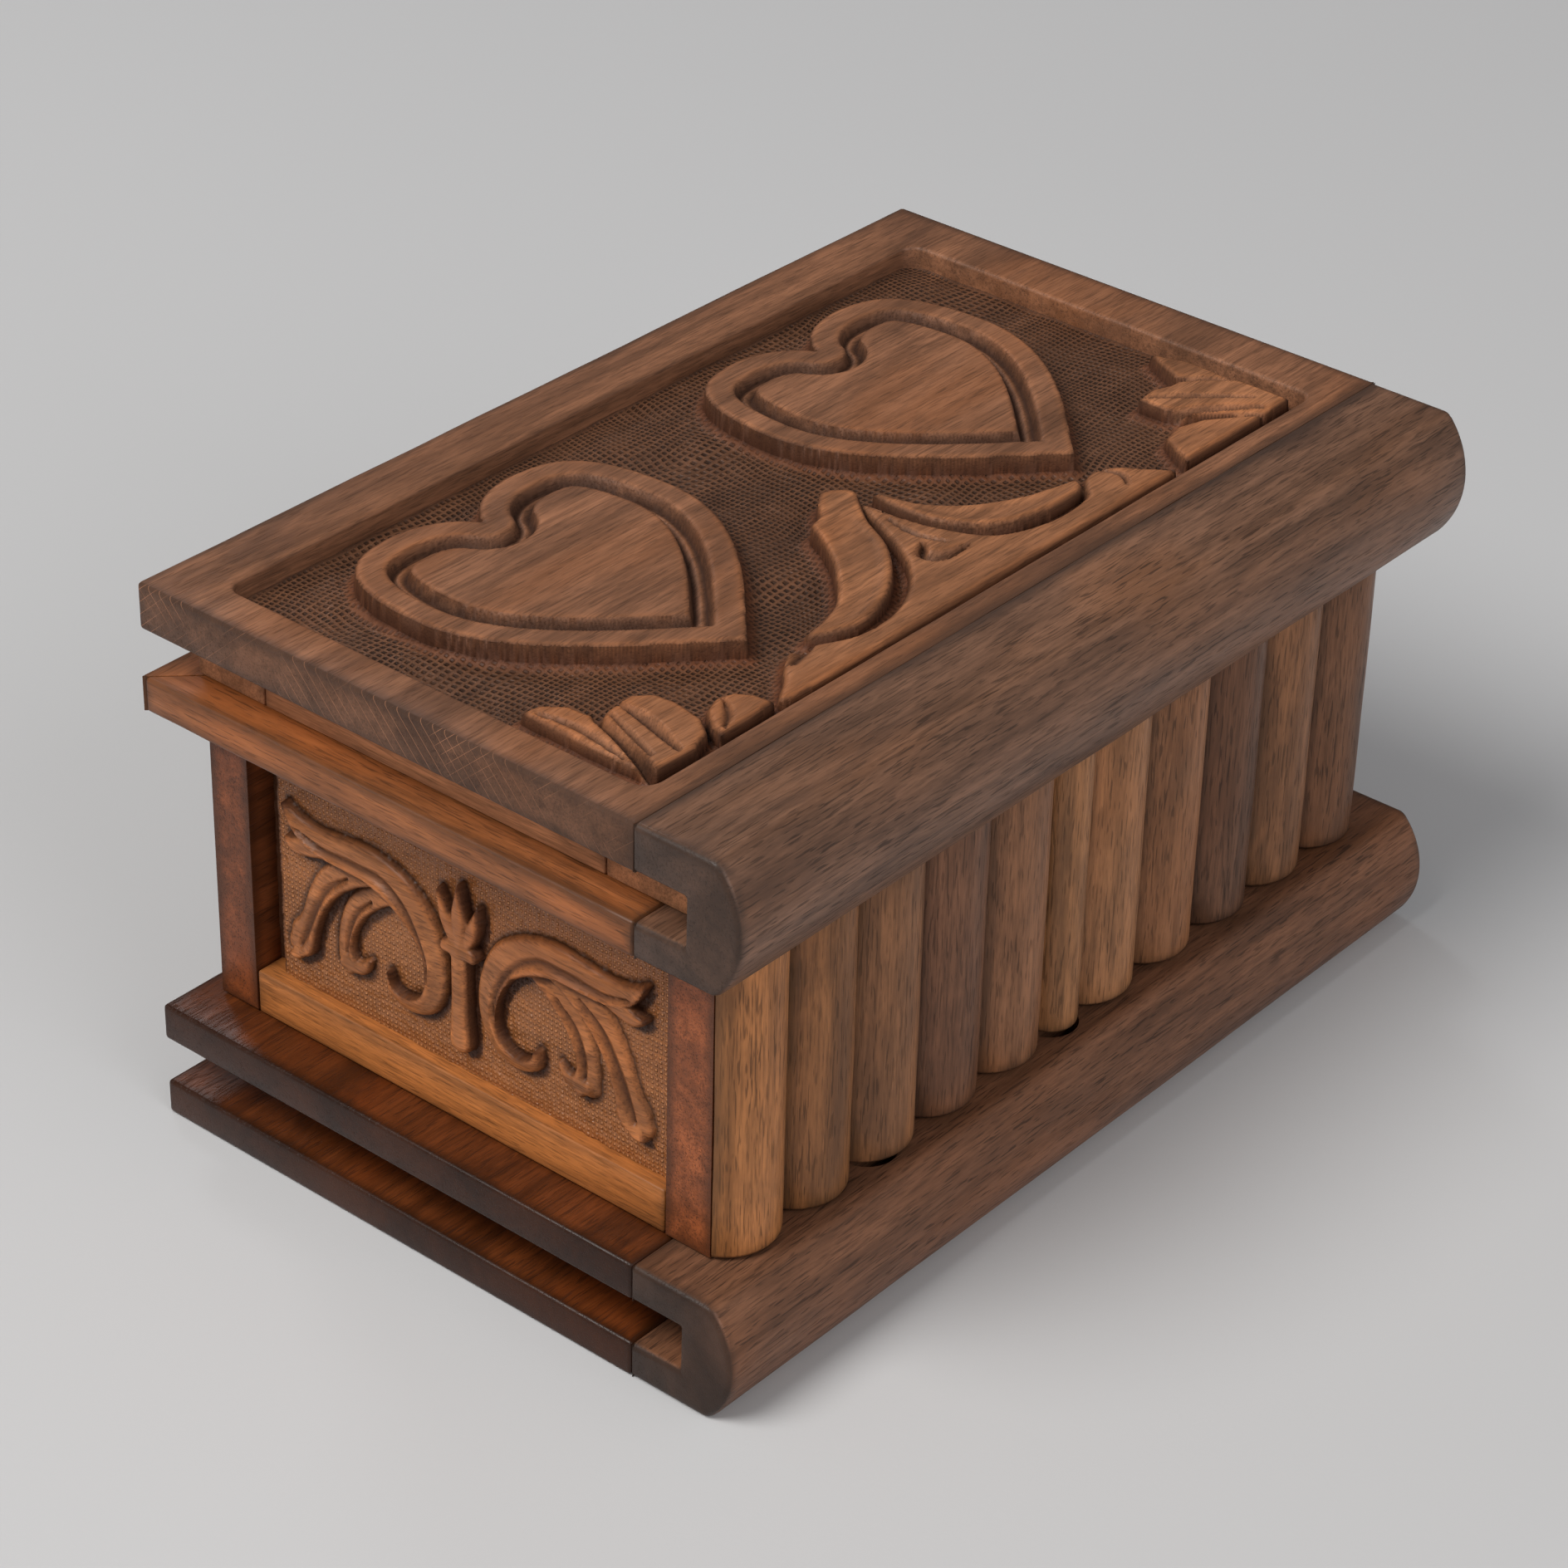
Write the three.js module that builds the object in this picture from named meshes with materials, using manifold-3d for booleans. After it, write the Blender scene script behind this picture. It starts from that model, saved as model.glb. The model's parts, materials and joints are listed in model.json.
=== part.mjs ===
// A wooden puzzle box shaped like a block of half-round columns held between two books.
//
// Frame: millimetres, +Z up, origin at the middle of the footprint, on the surface the box stands on.
// +X runs along the box to the right, -Y is the front (the side with the columns and the spines).
//
// How it works: the base book's spine slides out to the right and brings the hidden key with it, the
// narrow middle column then drops into a pocket in that spine, and the keyhole shows behind its top.
// The key throws the bolt of a small box lock, and the lid swings up on two butt hinges at the rear.

import * as THREE from 'three';
import { mergeVertices } from 'three/addons/utils/BufferGeometryUtils.js';
import Module from 'manifold-3d';

const wasm = await Module();
wasm.setup();

// ---------------------------------------------------------------------------------------------
// Driving dimensions
// ---------------------------------------------------------------------------------------------

// Outside
const boxLength = 180;        // along X, over the two books
const boxDepth = 118;         // along Y, from the rear edge to the nose of the spines
const wallHeight = 53.8;      // clear height between the two books

// Clearances
const fitGap = 0.3;           // between neighbouring pieces that touch or slide
const pinGap = 0.15;          // around a hinge pin
const throwGap = 0.6;         // around the strike loop

// Base book, from the bottom up
const baseBottomThick = 6.2;
const baseSlotHeight = 8.0;
const baseTopThick = 6.5;
const baseCoreInset = 14;     // page block behind the boards' edges
const coreWidth = 14;

// Lid book, from the bottom up
const lidFrameThick = 6.0;
const lidSlotHeight = 8.2;
const lidTopThick = 8.0;
const lidCoreInset = 6;
const lidFrameWidth = 20;
const frontRailWidth = 10.4;  // strip over the lock, behind the lid spine

// Spines
const spineReach = 19.3;      // from the joint with the boards to the nose
const spineBulge = 4.6;       // height of the nose's arc
const spineWeb = 10.1;        // solid wood in front of the spine's channel
const pocketWall = 0.8;       // from the base's tongue in the channel to the middle column's pocket

// Walls
const endInset = 8.6;         // from the books' ends to the walls' ends
const rearInset = 4.6;        // from the books' rear edge to the rear wall
const rearWallThick = 8;
const frontWallThick = 8.6;
const wallOverSpine = 7.6;    // how far the front wall stands forward over the spine's joint
const endPanelThick = 8;
const panelRailHeight = 7.7;  // plain strip along the foot of a carved end panel
const panelGroundDepth = 2.5; // carved ground behind the strip's face

// Columns
const columnCount = 11;
const columnProud = 4.5;      // how far a column stands out from the wall
const keyColumnWidth = 9.2;
const keyColumnProud = 3.9;
const keyColumnDrop = 13;     // travel of the middle column
const tongueNeck = 3.2;       // dovetail on the back of the middle column
const tongueRoot = 5.2;
const tongueDepth = 2.6;

// Key, and the bay in the spine's channel that holds it
const keyLength = 30;
const keyThick = 2;           // also the width of its shank
const keyRing = 1.6;          // width of metal around the eye in the bow
const keyBitMargin = 1;       // from the key's end to its bit
const keyBitWidth = 3.5;
const keyWard = 0.9;          // slot in the bit
const keySlack = 1.6;         // the bow is this much smaller than the channel is deep
const keyEndMargin = 12;      // from the key's bow to the spine's right end
const keyClear = 3;           // how far the whole key comes out past the box's end
const keyBayGap = 4;          // from the key's bit to the core's tongue

// Carved field in the lid
const fieldDepth = 4;
const fieldLeftBorder = 8;
const fieldRightBorder = 10.7;
const fieldRearBorder = 10.6;
const fieldFrontBorder = 4.8;
const fieldCorner = 3;
const heartWidth = 57;
const heartHeight = 59.5;
const heartRim = 4.6;
const heartChannel = 3.8;
const channelDepth = 2.2;
const heartDraw = 1.4;        // each heart sits this much nearer to the middle than its quarter point
const heartForward = 2.4;     // and this much nearer to the rear than the field's middle

// Butt hinges
const hingeSpacing = 96;      // between the middles of the two hinges
const hingeWidth = 25;
const knuckleRadius = 1.9;
const hingePinRadius = 0.9;
const leafThick = 1;
const leafReach = 6.4;        // from the rear wall's face to the leaf's inner edge
const axisProud = 0.8;        // hinge axis behind the rear wall's face
const hingeScrewInset = 5;    // from the leaf's ends
const hingeScrewShift = 0.8;  // screws nearer to the leaf's inner edge than its middle

// Box lock
const lockWidth = 28;
const lockDepth = 9;
const lockHeight = 16;
const boltLength = 8;
const boltWide = 2;
const boltTall = 2.3;
const boltThrow = 6;
const loopSill = 3;           // metal under the eye of the strike loop
const keyUnderBolt = 2.3;     // the keyhole's middle lies this much below the bolt's
const lockScrewInset = 2.5;   // from the lock case's sides
const lockScrewRise = 4;      // from the lock case's foot
const strikeScrewInset = 3;   // from the strike plate's ends
const loopThick = 2;
const loopWide = 5;
const loopDrop = 8;
const keyholeRadius = 2.1;
const keyholeDrop = 5;
const strikeThick = 1;

// Screws
const screwShaftRadius = 0.8;
const screwHeadRadius = 1.5;
const screwHeadHeight = 0.8;
const screwSink = 0.1;        // how far a head lies below the face that it holds
const hingeScrewLength = 5;
const lockScrewLength = 13;

// ---------------------------------------------------------------------------------------------
// Places worked out from the driving dimensions
// ---------------------------------------------------------------------------------------------

const right = boxLength / 2;
const rear = boxDepth / 2;
const nose = -rear;
const jointY = nose + spineReach;              // line where boards and spine meet
const channelY = nose + spineWeb;              // bottom of the spines' channels

const baseSlotBottom = baseBottomThick;
const baseSlotTop = baseSlotBottom + baseSlotHeight;
const baseTop = baseSlotTop + baseTopThick;
const lidBottom = baseTop + wallHeight;
const lidSlotBottom = lidBottom + lidFrameThick;
const lidSlotTop = lidSlotBottom + lidSlotHeight;
const lidTop = lidSlotTop + lidTopThick;

const wallEnd = right - endInset;
const wallFoot = baseTop + fitGap;
const wallHead = lidBottom - fitGap;
const rearFace = rear - rearInset;             // outer face of the rear wall
const rearInner = rearFace - rearWallThick;
const frontFace = jointY - wallOverSpine;      // outer face of the front wall
const frontInner = frontFace + frontWallThick;

const keyStart = right - keyEndMargin - keyLength;
const tongueEnd = keyStart - keyBayGap;
const spineTravel = keyLength + keyEndMargin + keyClear;
const keyBow = spineReach - spineWeb - keySlack;
const tongueNose = Math.max(channelY + fitGap, frontFace + pocketWall);

const lockBack = frontInner + fitGap;
const lockFace = lockBack + lockDepth;
const lockHead = wallHead;
const lockFoot = lockHead - lockHeight;
const boltY = lockBack + lockDepth / 2;
const boltZ = lockHead - loopDrop + loopSill + fitGap + boltTall / 2;
const keyholeZ = boltZ - keyUnderBolt;

// ---------------------------------------------------------------------------------------------
// Solids
// ---------------------------------------------------------------------------------------------

/** Turns a closed three.js geometry into a manifold solid. */
function solidOf(geometry) {
  const bare = geometry.clone();
  bare.deleteAttribute('normal');
  bare.deleteAttribute('uv');
  const welded = mergeVertices(bare, 1e-5);
  const corners = welded.index.array;
  const kept = [];
  for (let i = 0; i < corners.length; i += 3) {
    const [a, b, c] = [corners[i], corners[i + 1], corners[i + 2]];
    if (a !== b && b !== c && c !== a) kept.push(a, b, c);
  }
  return new wasm.Manifold(new wasm.Mesh({
    numProp: 3,
    vertProperties: new Float32Array(welded.attributes.position.array),
    triVerts: new Uint32Array(kept),
  }));
}

/** Turns a manifold solid back into a three.js geometry with flat facets. */
function geometryOf(solid) {
  const mesh = solid.getMesh();
  const geometry = new THREE.BufferGeometry();
  geometry.setAttribute('position', new THREE.BufferAttribute(mesh.vertProperties, 3));
  geometry.setIndex(new THREE.BufferAttribute(mesh.triVerts, 1));
  geometry.computeVertexNormals();
  return geometry;
}

const join = (first, ...others) => others.reduce((whole, piece) => whole.add(piece), first);
const cut = (first, ...others) => others.reduce((whole, piece) => whole.subtract(piece), first);

/** A block given by its two ends along each axis. */
function block([x0, x1], [y0, y1], [z0, z1]) {
  const geometry = new THREE.BoxGeometry(x1 - x0, y1 - y0, z1 - z0);
  geometry.translate((x0 + x1) / 2, (y0 + y1) / 2, (z0 + z1) / 2);
  return solidOf(geometry);
}

/** An outline pushed from one place to another along X, Y or Z. Along X the outline's own axes are
 *  Y and Z, along Y they are Z and X, and along Z they are X and Y. */
function prism(outline, axis, [from, to], curveSegments = 10) {
  const geometry = new THREE.ExtrudeGeometry(outline, {
    depth: to - from, bevelEnabled: false, steps: 1, curveSegments,
  });
  geometry.translate(0, 0, from);
  const x = new THREE.Vector3(1, 0, 0);
  const y = new THREE.Vector3(0, 1, 0);
  const z = new THREE.Vector3(0, 0, 1);
  const turns = { x: [y, z, x], y: [z, x, y], z: [x, y, z] };
  geometry.applyMatrix4(new THREE.Matrix4().makeBasis(...turns[axis]));
  return solidOf(geometry);
}

const polygon = (points) => new THREE.Shape(points.map(([u, v]) => new THREE.Vector2(u, v)));

/** A round bar along X, Y or Z, centred on a point. */
function bar(radius, length, axis, [x, y, z], tip = radius) {
  const geometry = new THREE.CylinderGeometry(tip, radius, length, 20);
  if (axis === 'x') geometry.rotateZ(-Math.PI / 2);
  if (axis === 'z') geometry.rotateX(Math.PI / 2);
  geometry.translate(x, y, z);
  return solidOf(geometry);
}

/** A rectangle with round corners, as an outline. */
function roundedRectangle([u0, u1], [v0, v1], radius) {
  const shape = new THREE.Shape();
  shape.absarc(u1 - radius, v1 - radius, radius, 0, Math.PI / 2);
  shape.absarc(u0 + radius, v1 - radius, radius, Math.PI / 2, Math.PI);
  shape.absarc(u0 + radius, v0 + radius, radius, Math.PI, 1.5 * Math.PI);
  shape.absarc(u1 - radius, v0 + radius, radius, 1.5 * Math.PI, 2 * Math.PI);
  return shape;
}

// ---------------------------------------------------------------------------------------------
// The assembly and its finishes
// ---------------------------------------------------------------------------------------------

const assembly = new THREE.Group();

const finishes = {
  boardWood: { color: 0x5e4738, roughness: 0.38, metalness: 0 },
  baseWood: { color: 0x5a3f30, roughness: 0.32, metalness: 0 },
  spineWood: { color: 0x6a5445, roughness: 0.38, metalness: 0 },
  coreWood: { color: 0xb98a5c, roughness: 0.62, metalness: 0 },
  frameWood: { color: 0x8a6244, roughness: 0.4, metalness: 0 },
  wallWood: { color: 0x7a4c38, roughness: 0.45, metalness: 0 },
  panelWood: { color: 0x9a7458, roughness: 0.42, metalness: 0 },
  columnWarm: { color: 0xa9805f, roughness: 0.36, metalness: 0 },
  columnTan: { color: 0x977259, roughness: 0.36, metalness: 0 },
  columnGrey: { color: 0x7f6352, roughness: 0.38, metalness: 0 },
  brass: { color: 0xb5924c, roughness: 0.35, metalness: 1 },
};

/** Adds one sub-part to the assembly as a mesh with a material of its own. */
function addPart(name, solid, finish) {
  const mesh = new THREE.Mesh(geometryOf(solid), new THREE.MeshStandardMaterial(finishes[finish]));
  mesh.name = name;
  assembly.add(mesh);
}

// ---------------------------------------------------------------------------------------------
// Spines: a bullnose bar with a channel along its back, like the back of a book
// ---------------------------------------------------------------------------------------------

function spineBar(bottom, top, slotBottom, slotTop) {
  const half = (top - bottom) / 2;
  const radius = (half * half + spineBulge * spineBulge) / (2 * spineBulge);
  const centreY = nose + radius;
  const centreZ = bottom + half;
  const swing = Math.asin(half / radius);
  const back = jointY - fitGap;
  const outline = new THREE.Shape();
  outline.absarc(centreY, centreZ, radius, Math.PI - swing, Math.PI + swing);
  outline.lineTo(back, bottom);
  outline.lineTo(back, slotBottom);
  outline.lineTo(channelY, slotBottom);
  outline.lineTo(channelY, slotTop);
  outline.lineTo(back, slotTop);
  outline.lineTo(back, top);
  return prism(outline, 'x', [-right, right], 24);
}

function addSpines() {
  addPart('lid_spine', spineBar(lidBottom, lidTop, lidSlotBottom, lidSlotTop), 'spineWood');

  // The base spine has a pocket for the middle column at each end of its travel: one lies under the
  // column while the spine is home, the other comes under it when the spine is pulled right out.
  const pocketAt = (middle) => block(
    [middle - keyColumnWidth / 2 - fitGap, middle + keyColumnWidth / 2 + fitGap],
    [frontFace - fitGap - keyColumnProud - fitGap, frontFace],
    [baseTop - keyColumnDrop - fitGap, baseTop + fitGap],
  );
  const baseBar = spineBar(0, baseTop, baseSlotBottom, baseSlotTop);
  addPart('base_spine', cut(baseBar, pocketAt(0), pocketAt(-spineTravel)), 'spineWood');
}

// ---------------------------------------------------------------------------------------------
// Base book
// ---------------------------------------------------------------------------------------------

function addBase() {
  const boardSpan = [jointY, rear];
  addPart('base_bottom_board', block([-right, right], boardSpan, [0, baseSlotBottom]), 'baseWood');
  addPart('base_top_board', block([-right, right], boardSpan, [baseSlotTop, baseTop]), 'baseWood');

  const level = [baseSlotBottom + fitGap, baseSlotTop - fitGap];
  const coreEnd = right - baseCoreInset;
  const coreRear = rear - baseCoreInset;
  const frontCoreRear = jointY + coreWidth;
  const sideSpan = [frontCoreRear + fitGap, coreRear - coreWidth - fitGap];
  addPart('base_core_rear', block([-coreEnd, coreEnd], [coreRear - coreWidth, coreRear], level),
    'coreWood');
  addPart('base_core_left', block([-coreEnd, -coreEnd + coreWidth], sideSpan, level), 'coreWood');
  addPart('base_core_right', block([coreEnd - coreWidth, coreEnd], sideSpan, level), 'coreWood');
  addPart('base_core_front', block([-coreEnd, tongueEnd], [tongueNose, frontCoreRear], level),
    'coreWood');
}

// ---------------------------------------------------------------------------------------------
// Walls
// ---------------------------------------------------------------------------------------------

/** The outline of the middle column's dovetail, wider at its root by the given slack all round. */
function dovetail(slack) {
  const mouth = tongueNeck / 2 + slack;
  const root = tongueRoot / 2 + slack;
  const inner = frontFace + tongueDepth + slack;
  const outer = frontFace - fitGap - slack;
  return polygon([[-mouth, outer], [mouth, outer], [root, inner], [-root, inner]]);
}

const tongueFoot = wallFoot + keyColumnDrop + fitGap;
const tongueHead = keyholeZ - keyholeDrop - keyholeRadius;

/** A keyhole through a plate, from one Y to another: a round hole over a narrow slot. */
function keyhole([from, to], slack) {
  const radius = keyholeRadius + slack;
  const slot = block([-radius / 2, radius / 2], [from, to], [keyholeZ - keyholeDrop - slack, keyholeZ]);
  return join(bar(radius, to - from, 'y', [0, (from + to) / 2, keyholeZ]), slot);
}

function addWalls() {
  const length = [-wallEnd, wallEnd];
  const height = [wallFoot, wallHead];

  const frontBlock = block(length, [frontFace, frontInner], height);
  const groove = prism(dovetail(fitGap), 'z', [tongueFoot - keyColumnDrop - fitGap, tongueHead + fitGap]);
  const lockScrewHoles = lockScrewPlaces().map(([x, z]) => bar(
    screwShaftRadius + fitGap, 2 * lockScrewLength, 'y', [x, lockFace - fitGap, z]));
  addPart('front_wall', cut(frontBlock, groove, keyhole([frontFace - 1, frontInner + 1], 0),
    ...lockScrewHoles), 'wallWood');

  const rearBlock = block(length, [rearInner, rearFace], height);
  const mortises = hingePlaces().flatMap((x) => [
    leafMortise(x, [wallHead - leafThick - fitGap, wallHead + fitGap]),
    knuckleClearance(x, -1),
    ...hingeScrewPlaces(x).map((place) => bar(
      screwShaftRadius + fitGap, hingeScrewLength + 2 * fitGap, 'z',
      [place, hingeScrewY, wallHead - leafThick / 2 - hingeScrewLength / 2])),
  ]);
  addPart('rear_wall', cut(rearBlock, ...mortises), 'wallWood');

  // End panels: a plain strip at the foot, and above it a sunk ground that carries the carving
  for (const [side, name] of [[-1, 'left_end_panel'], [1, 'right_end_panel']]) {
    const outer = side * wallEnd;
    const inner = side * (wallEnd - endPanelThick);
    const ground = side * (wallEnd - panelGroundDepth);
    const across = [frontInner + fitGap, rearInner - fitGap];
    const panel = block([Math.min(outer, inner), Math.max(outer, inner)], across, height);
    const sink = block(
      [Math.min(ground, outer + side), Math.max(ground, outer + side)],
      [across[0] - 1, across[1] + 1],
      [wallFoot + panelRailHeight, wallHead + 1]);
    addPart(name, cut(panel, sink), 'panelWood');
  }
}

// ---------------------------------------------------------------------------------------------
// Columns: half-round posts along the front wall; the narrow one in the middle slides down
// ---------------------------------------------------------------------------------------------

function columnOutline(centre, width, proud) {
  const half = width / 2;
  const radius = (half * half + proud * proud) / (2 * proud);
  const back = frontFace - fitGap;
  const swing = Math.asin(half / radius);
  const outline = new THREE.Shape();
  outline.absarc(centre, back - proud + radius, radius, 1.5 * Math.PI - swing, 1.5 * Math.PI + swing);
  return outline;
}

function addColumns() {
  const finishOrder = ['columnWarm', 'columnTan', 'columnGrey', 'columnTan', 'columnGrey', 'columnTan',
    'columnGrey', 'columnGrey', 'columnTan', 'columnGrey', 'columnGrey'];
  const middle = (columnCount - 1) / 2;
  const width = (2 * wallEnd - keyColumnWidth - (columnCount - 1) * fitGap) / (columnCount - 1);
  let edge = -wallEnd;
  for (let i = 0; i < columnCount; i += 1) {
    const isKey = i === middle;
    const ownWidth = isKey ? keyColumnWidth : width;
    const proud = isKey ? keyColumnProud : columnProud;
    const outline = columnOutline(edge + ownWidth / 2, ownWidth, proud);
    const post = prism(outline, 'z', [wallFoot, wallHead], 14);
    const finish = finishOrder[i % finishOrder.length];
    if (isKey) {
      const tongue = prism(dovetail(0), 'z', [tongueFoot, tongueHead]);
      addPart('key_column', join(post, tongue), finish);
    } else {
      addPart(`column_${String(i + 1).padStart(2, '0')}`, post, finish);
    }
    edge += ownWidth + fitGap;
  }
}

// ---------------------------------------------------------------------------------------------
// Lid book
// ---------------------------------------------------------------------------------------------

/** A heart with its tip toward the front, shrunk inward on every side by the given amount. */
function heart(centreX, centreY, inset) {
  const half = heartWidth / 2 - inset;
  const tip = centreY - heartHeight / 2 + 1.7 * inset;
  const shoulder = centreY + heartHeight / 2 - inset;
  const notch = shoulder - (0.12 * heartHeight + 0.35 * inset);
  const waist = centreY + 0.16 * heartHeight;
  const shape = new THREE.Shape();
  shape.moveTo(centreX, tip);
  shape.bezierCurveTo(centreX + 0.35 * half, tip + 0.24 * (waist - tip),
    centreX + half, tip + 0.58 * (waist - tip), centreX + half, waist);
  shape.bezierCurveTo(centreX + half, shoulder - 0.12 * half,
    centreX + 0.78 * half, shoulder, centreX + 0.46 * half, shoulder);
  shape.bezierCurveTo(centreX + 0.22 * half, shoulder,
    centreX + 0.06 * half, notch + 0.5 * (shoulder - notch), centreX, notch);
  shape.bezierCurveTo(centreX - 0.06 * half, notch + 0.5 * (shoulder - notch),
    centreX - 0.22 * half, shoulder, centreX - 0.46 * half, shoulder);
  shape.bezierCurveTo(centreX - 0.78 * half, shoulder,
    centreX - half, shoulder - 0.12 * half, centreX - half, waist);
  shape.bezierCurveTo(centreX - half, tip + 0.58 * (waist - tip),
    centreX - 0.35 * half, tip + 0.24 * (waist - tip), centreX, tip);
  return shape;
}

function addLidBoard() {
  const field = [[-right + fieldLeftBorder, right - fieldRightBorder],
    [jointY + fieldFrontBorder, rear - fieldRearBorder]];
  const floor = lidTop - fieldDepth;
  const pocket = prism(roundedRectangle(...field, fieldCorner), 'z', [floor, lidTop + 1], 5);
  const middleX = (field[0][0] + field[0][1]) / 2;
  const middleY = (field[1][0] + field[1][1]) / 2 + heartForward;
  const spread = (field[0][1] - field[0][0]) / 4 - heartDraw;
  let board = cut(block([-right, right], [jointY, rear], [lidSlotTop, lidTop]), pocket);
  for (const side of [-1, 1]) {
    const x = middleX + side * spread;
    const raised = prism(heart(x, middleY, 0), 'z', [floor - 1, lidTop], 8);
    const ring = cut(
      prism(heart(x, middleY, heartRim), 'z', [lidTop - channelDepth, lidTop + 1], 8),
      prism(heart(x, middleY, heartRim + heartChannel), 'z', [lidTop - channelDepth - 1, lidTop + 2], 8));
    board = cut(join(board, raised), ring);
  }
  addPart('lid_top_board', board, 'boardWood');
}

function addLidCores() {
  const level = [lidSlotBottom + fitGap, lidSlotTop - fitGap];
  const coreEnd = right - lidCoreInset;
  const coreRear = rear - lidCoreInset;
  const frontCoreRear = jointY + frontRailWidth;
  const sideSpan = [frontCoreRear + fitGap, coreRear - coreWidth - fitGap];
  addPart('lid_core_rear', block([-coreEnd, coreEnd], [coreRear - coreWidth, coreRear], level),
    'coreWood');
  addPart('lid_core_left', block([-coreEnd, -coreEnd + coreWidth], sideSpan, level), 'coreWood');
  addPart('lid_core_right', block([coreEnd - coreWidth, coreEnd], sideSpan, level), 'coreWood');
  addPart('lid_core_front', block([-coreEnd, coreEnd], [channelY + fitGap, frontCoreRear], level),
    'coreWood');
}

function addLidFrame() {
  const level = [lidBottom, lidSlotBottom];
  const inner = right - lidFrameWidth;
  const mitreGap = fitGap * Math.SQRT2;

  const rearStrip = polygon([[-right, rear], [-inner, rear - lidFrameWidth],
    [inner, rear - lidFrameWidth], [right, rear]]);
  const mortises = hingePlaces().flatMap((x) => [
    leafMortise(x, [lidBottom - fitGap, lidBottom + leafThick + fitGap]),
    knuckleClearance(x, 1),
    ...hingeScrewPlaces(x).map((place) => bar(
      screwShaftRadius + fitGap, hingeScrewLength - fitGap, 'z',
      [place, hingeScrewY, lidBottom + hingeScrewLength / 2])),
  ]);
  addPart('lid_frame_rear', cut(prism(rearStrip, 'z', level), ...mortises), 'frameWood');

  for (const [side, name] of [[-1, 'lid_frame_left'], [1, 'lid_frame_right']]) {
    const strip = polygon([[side * right, rear - mitreGap], [side * inner, rear - lidFrameWidth - mitreGap],
      [side * inner, jointY], [side * right, jointY]]);
    addPart(name, prism(strip, 'z', level), 'frameWood');
  }

  const across = [-inner + fitGap, inner - fitGap];
  const strip = block(across, [jointY, jointY + frontRailWidth], level);
  const plateBed = block([-lockWidth / 2 - fitGap, lockWidth / 2 + fitGap],
    [strikeSpan[0] - fitGap, strikeSpan[1] + fitGap], [lidBottom - 1, lidBottom + strikeThick + fitGap]);
  const holes = strikeScrewPlaces().map((x) => bar(
    screwShaftRadius + fitGap, hingeScrewLength - fitGap, 'z',
    [x, boltY, lidBottom + hingeScrewLength / 2]));
  addPart('lid_frame_front', cut(strip, plateBed, ...holes), 'frameWood');
}

// ---------------------------------------------------------------------------------------------
// Screws
// ---------------------------------------------------------------------------------------------

/** A countersunk screw. Its head's face is at the given place and its point is along the given way. */
function screw([x, y, z], axis, way, length) {
  const along = (distance) => {
    const place = { x, y, z };
    place[axis] += way * distance;
    return [place.x, place.y, place.z];
  };
  const [low, high] = way > 0 ? [screwHeadRadius, screwShaftRadius] : [screwShaftRadius, screwHeadRadius];
  const head = bar(low, screwHeadHeight, axis, along(screwHeadHeight / 2), high);
  const shaft = bar(screwShaftRadius, length - screwHeadHeight / 2, axis,
    along((length + screwHeadHeight / 2) / 2));
  return join(head, shaft);
}

/** The countersunk hole that a screw needs in the plate that it holds. It starts at the plate's face
 *  and the screw's point is along the given way. */
function screwSeat([x, y, z], axis, way, plate) {
  const centre = { x, y, z };
  centre[axis] += way * plate / 2;
  const wide = screwHeadRadius + fitGap;
  const narrow = screwShaftRadius + fitGap;
  const [low, high] = way > 0 ? [wide, narrow] : [narrow, wide];
  return bar(low, plate, axis, [centre.x, centre.y, centre.z], high);
}

// ---------------------------------------------------------------------------------------------
// Butt hinges
// ---------------------------------------------------------------------------------------------

const axisY = rearFace + axisProud;
const axisZ = (wallHead + lidBottom) / 2;
const hingeScrewY = rearFace - leafReach / 2 - hingeScrewShift;

function hingePlaces() {
  return [-hingeSpacing / 2, hingeSpacing / 2];
}

function hingeScrewPlaces(x) {
  const reach = hingeWidth / 2 - hingeScrewInset;
  return [x - reach, x + reach];
}

function leafMortise(x, [from, to]) {
  const half = hingeWidth / 2 + fitGap;
  return block([x - half, x + half], [rearFace - leafReach - fitGap, rearFace + 1], [from, to]);
}

/** Room for the knuckles, below the joint (side -1) or above it (side 1). */
function knuckleClearance(x, side) {
  const half = hingeWidth / 2 + fitGap;
  const reach = knuckleRadius + fitGap;
  const levels = side < 0 ? [axisZ - reach, axisZ + 1] : [axisZ - 1, axisZ + reach];
  return block([x - half, x + half], [axisY - reach, axisY + reach], levels);
}

/** A leaf with its knuckles. The case's leaf has the two outer ones, the lid's leaf the middle one. */
function hingeLeaf(x, side) {
  const third = hingeWidth / 3;
  const plateLevel = side < 0 ? [wallHead - leafThick, wallHead] : [lidBottom, lidBottom + leafThick];
  const plate = block([x - hingeWidth / 2, x + hingeWidth / 2], [rearFace - leafReach, axisY], plateLevel);
  const reach = knuckleRadius + fitGap;
  const own = side < 0 ? [-third, third] : [0];
  const others = side < 0 ? [0] : [-third, third];
  const room = others.map((shift) => block(
    [x + shift - third / 2 - fitGap, x + shift + third / 2 + fitGap],
    [axisY - reach, axisY + reach], [axisZ - reach, axisZ + reach]));
  const knuckles = own.map((shift) => bar(
    knuckleRadius, third - fitGap, 'x', [x + shift, axisY, axisZ]));
  const bore = bar(hingePinRadius + pinGap, hingeWidth + 4, 'x', [x, axisY, axisZ]);
  const face = side < 0 ? wallHead : lidBottom;
  const seats = hingeScrewPlaces(x).map((place) => screwSeat(
    [place, hingeScrewY, face], 'z', side, leafThick));
  return cut(join(cut(plate, ...room), ...knuckles), bore, ...seats);
}

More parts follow.
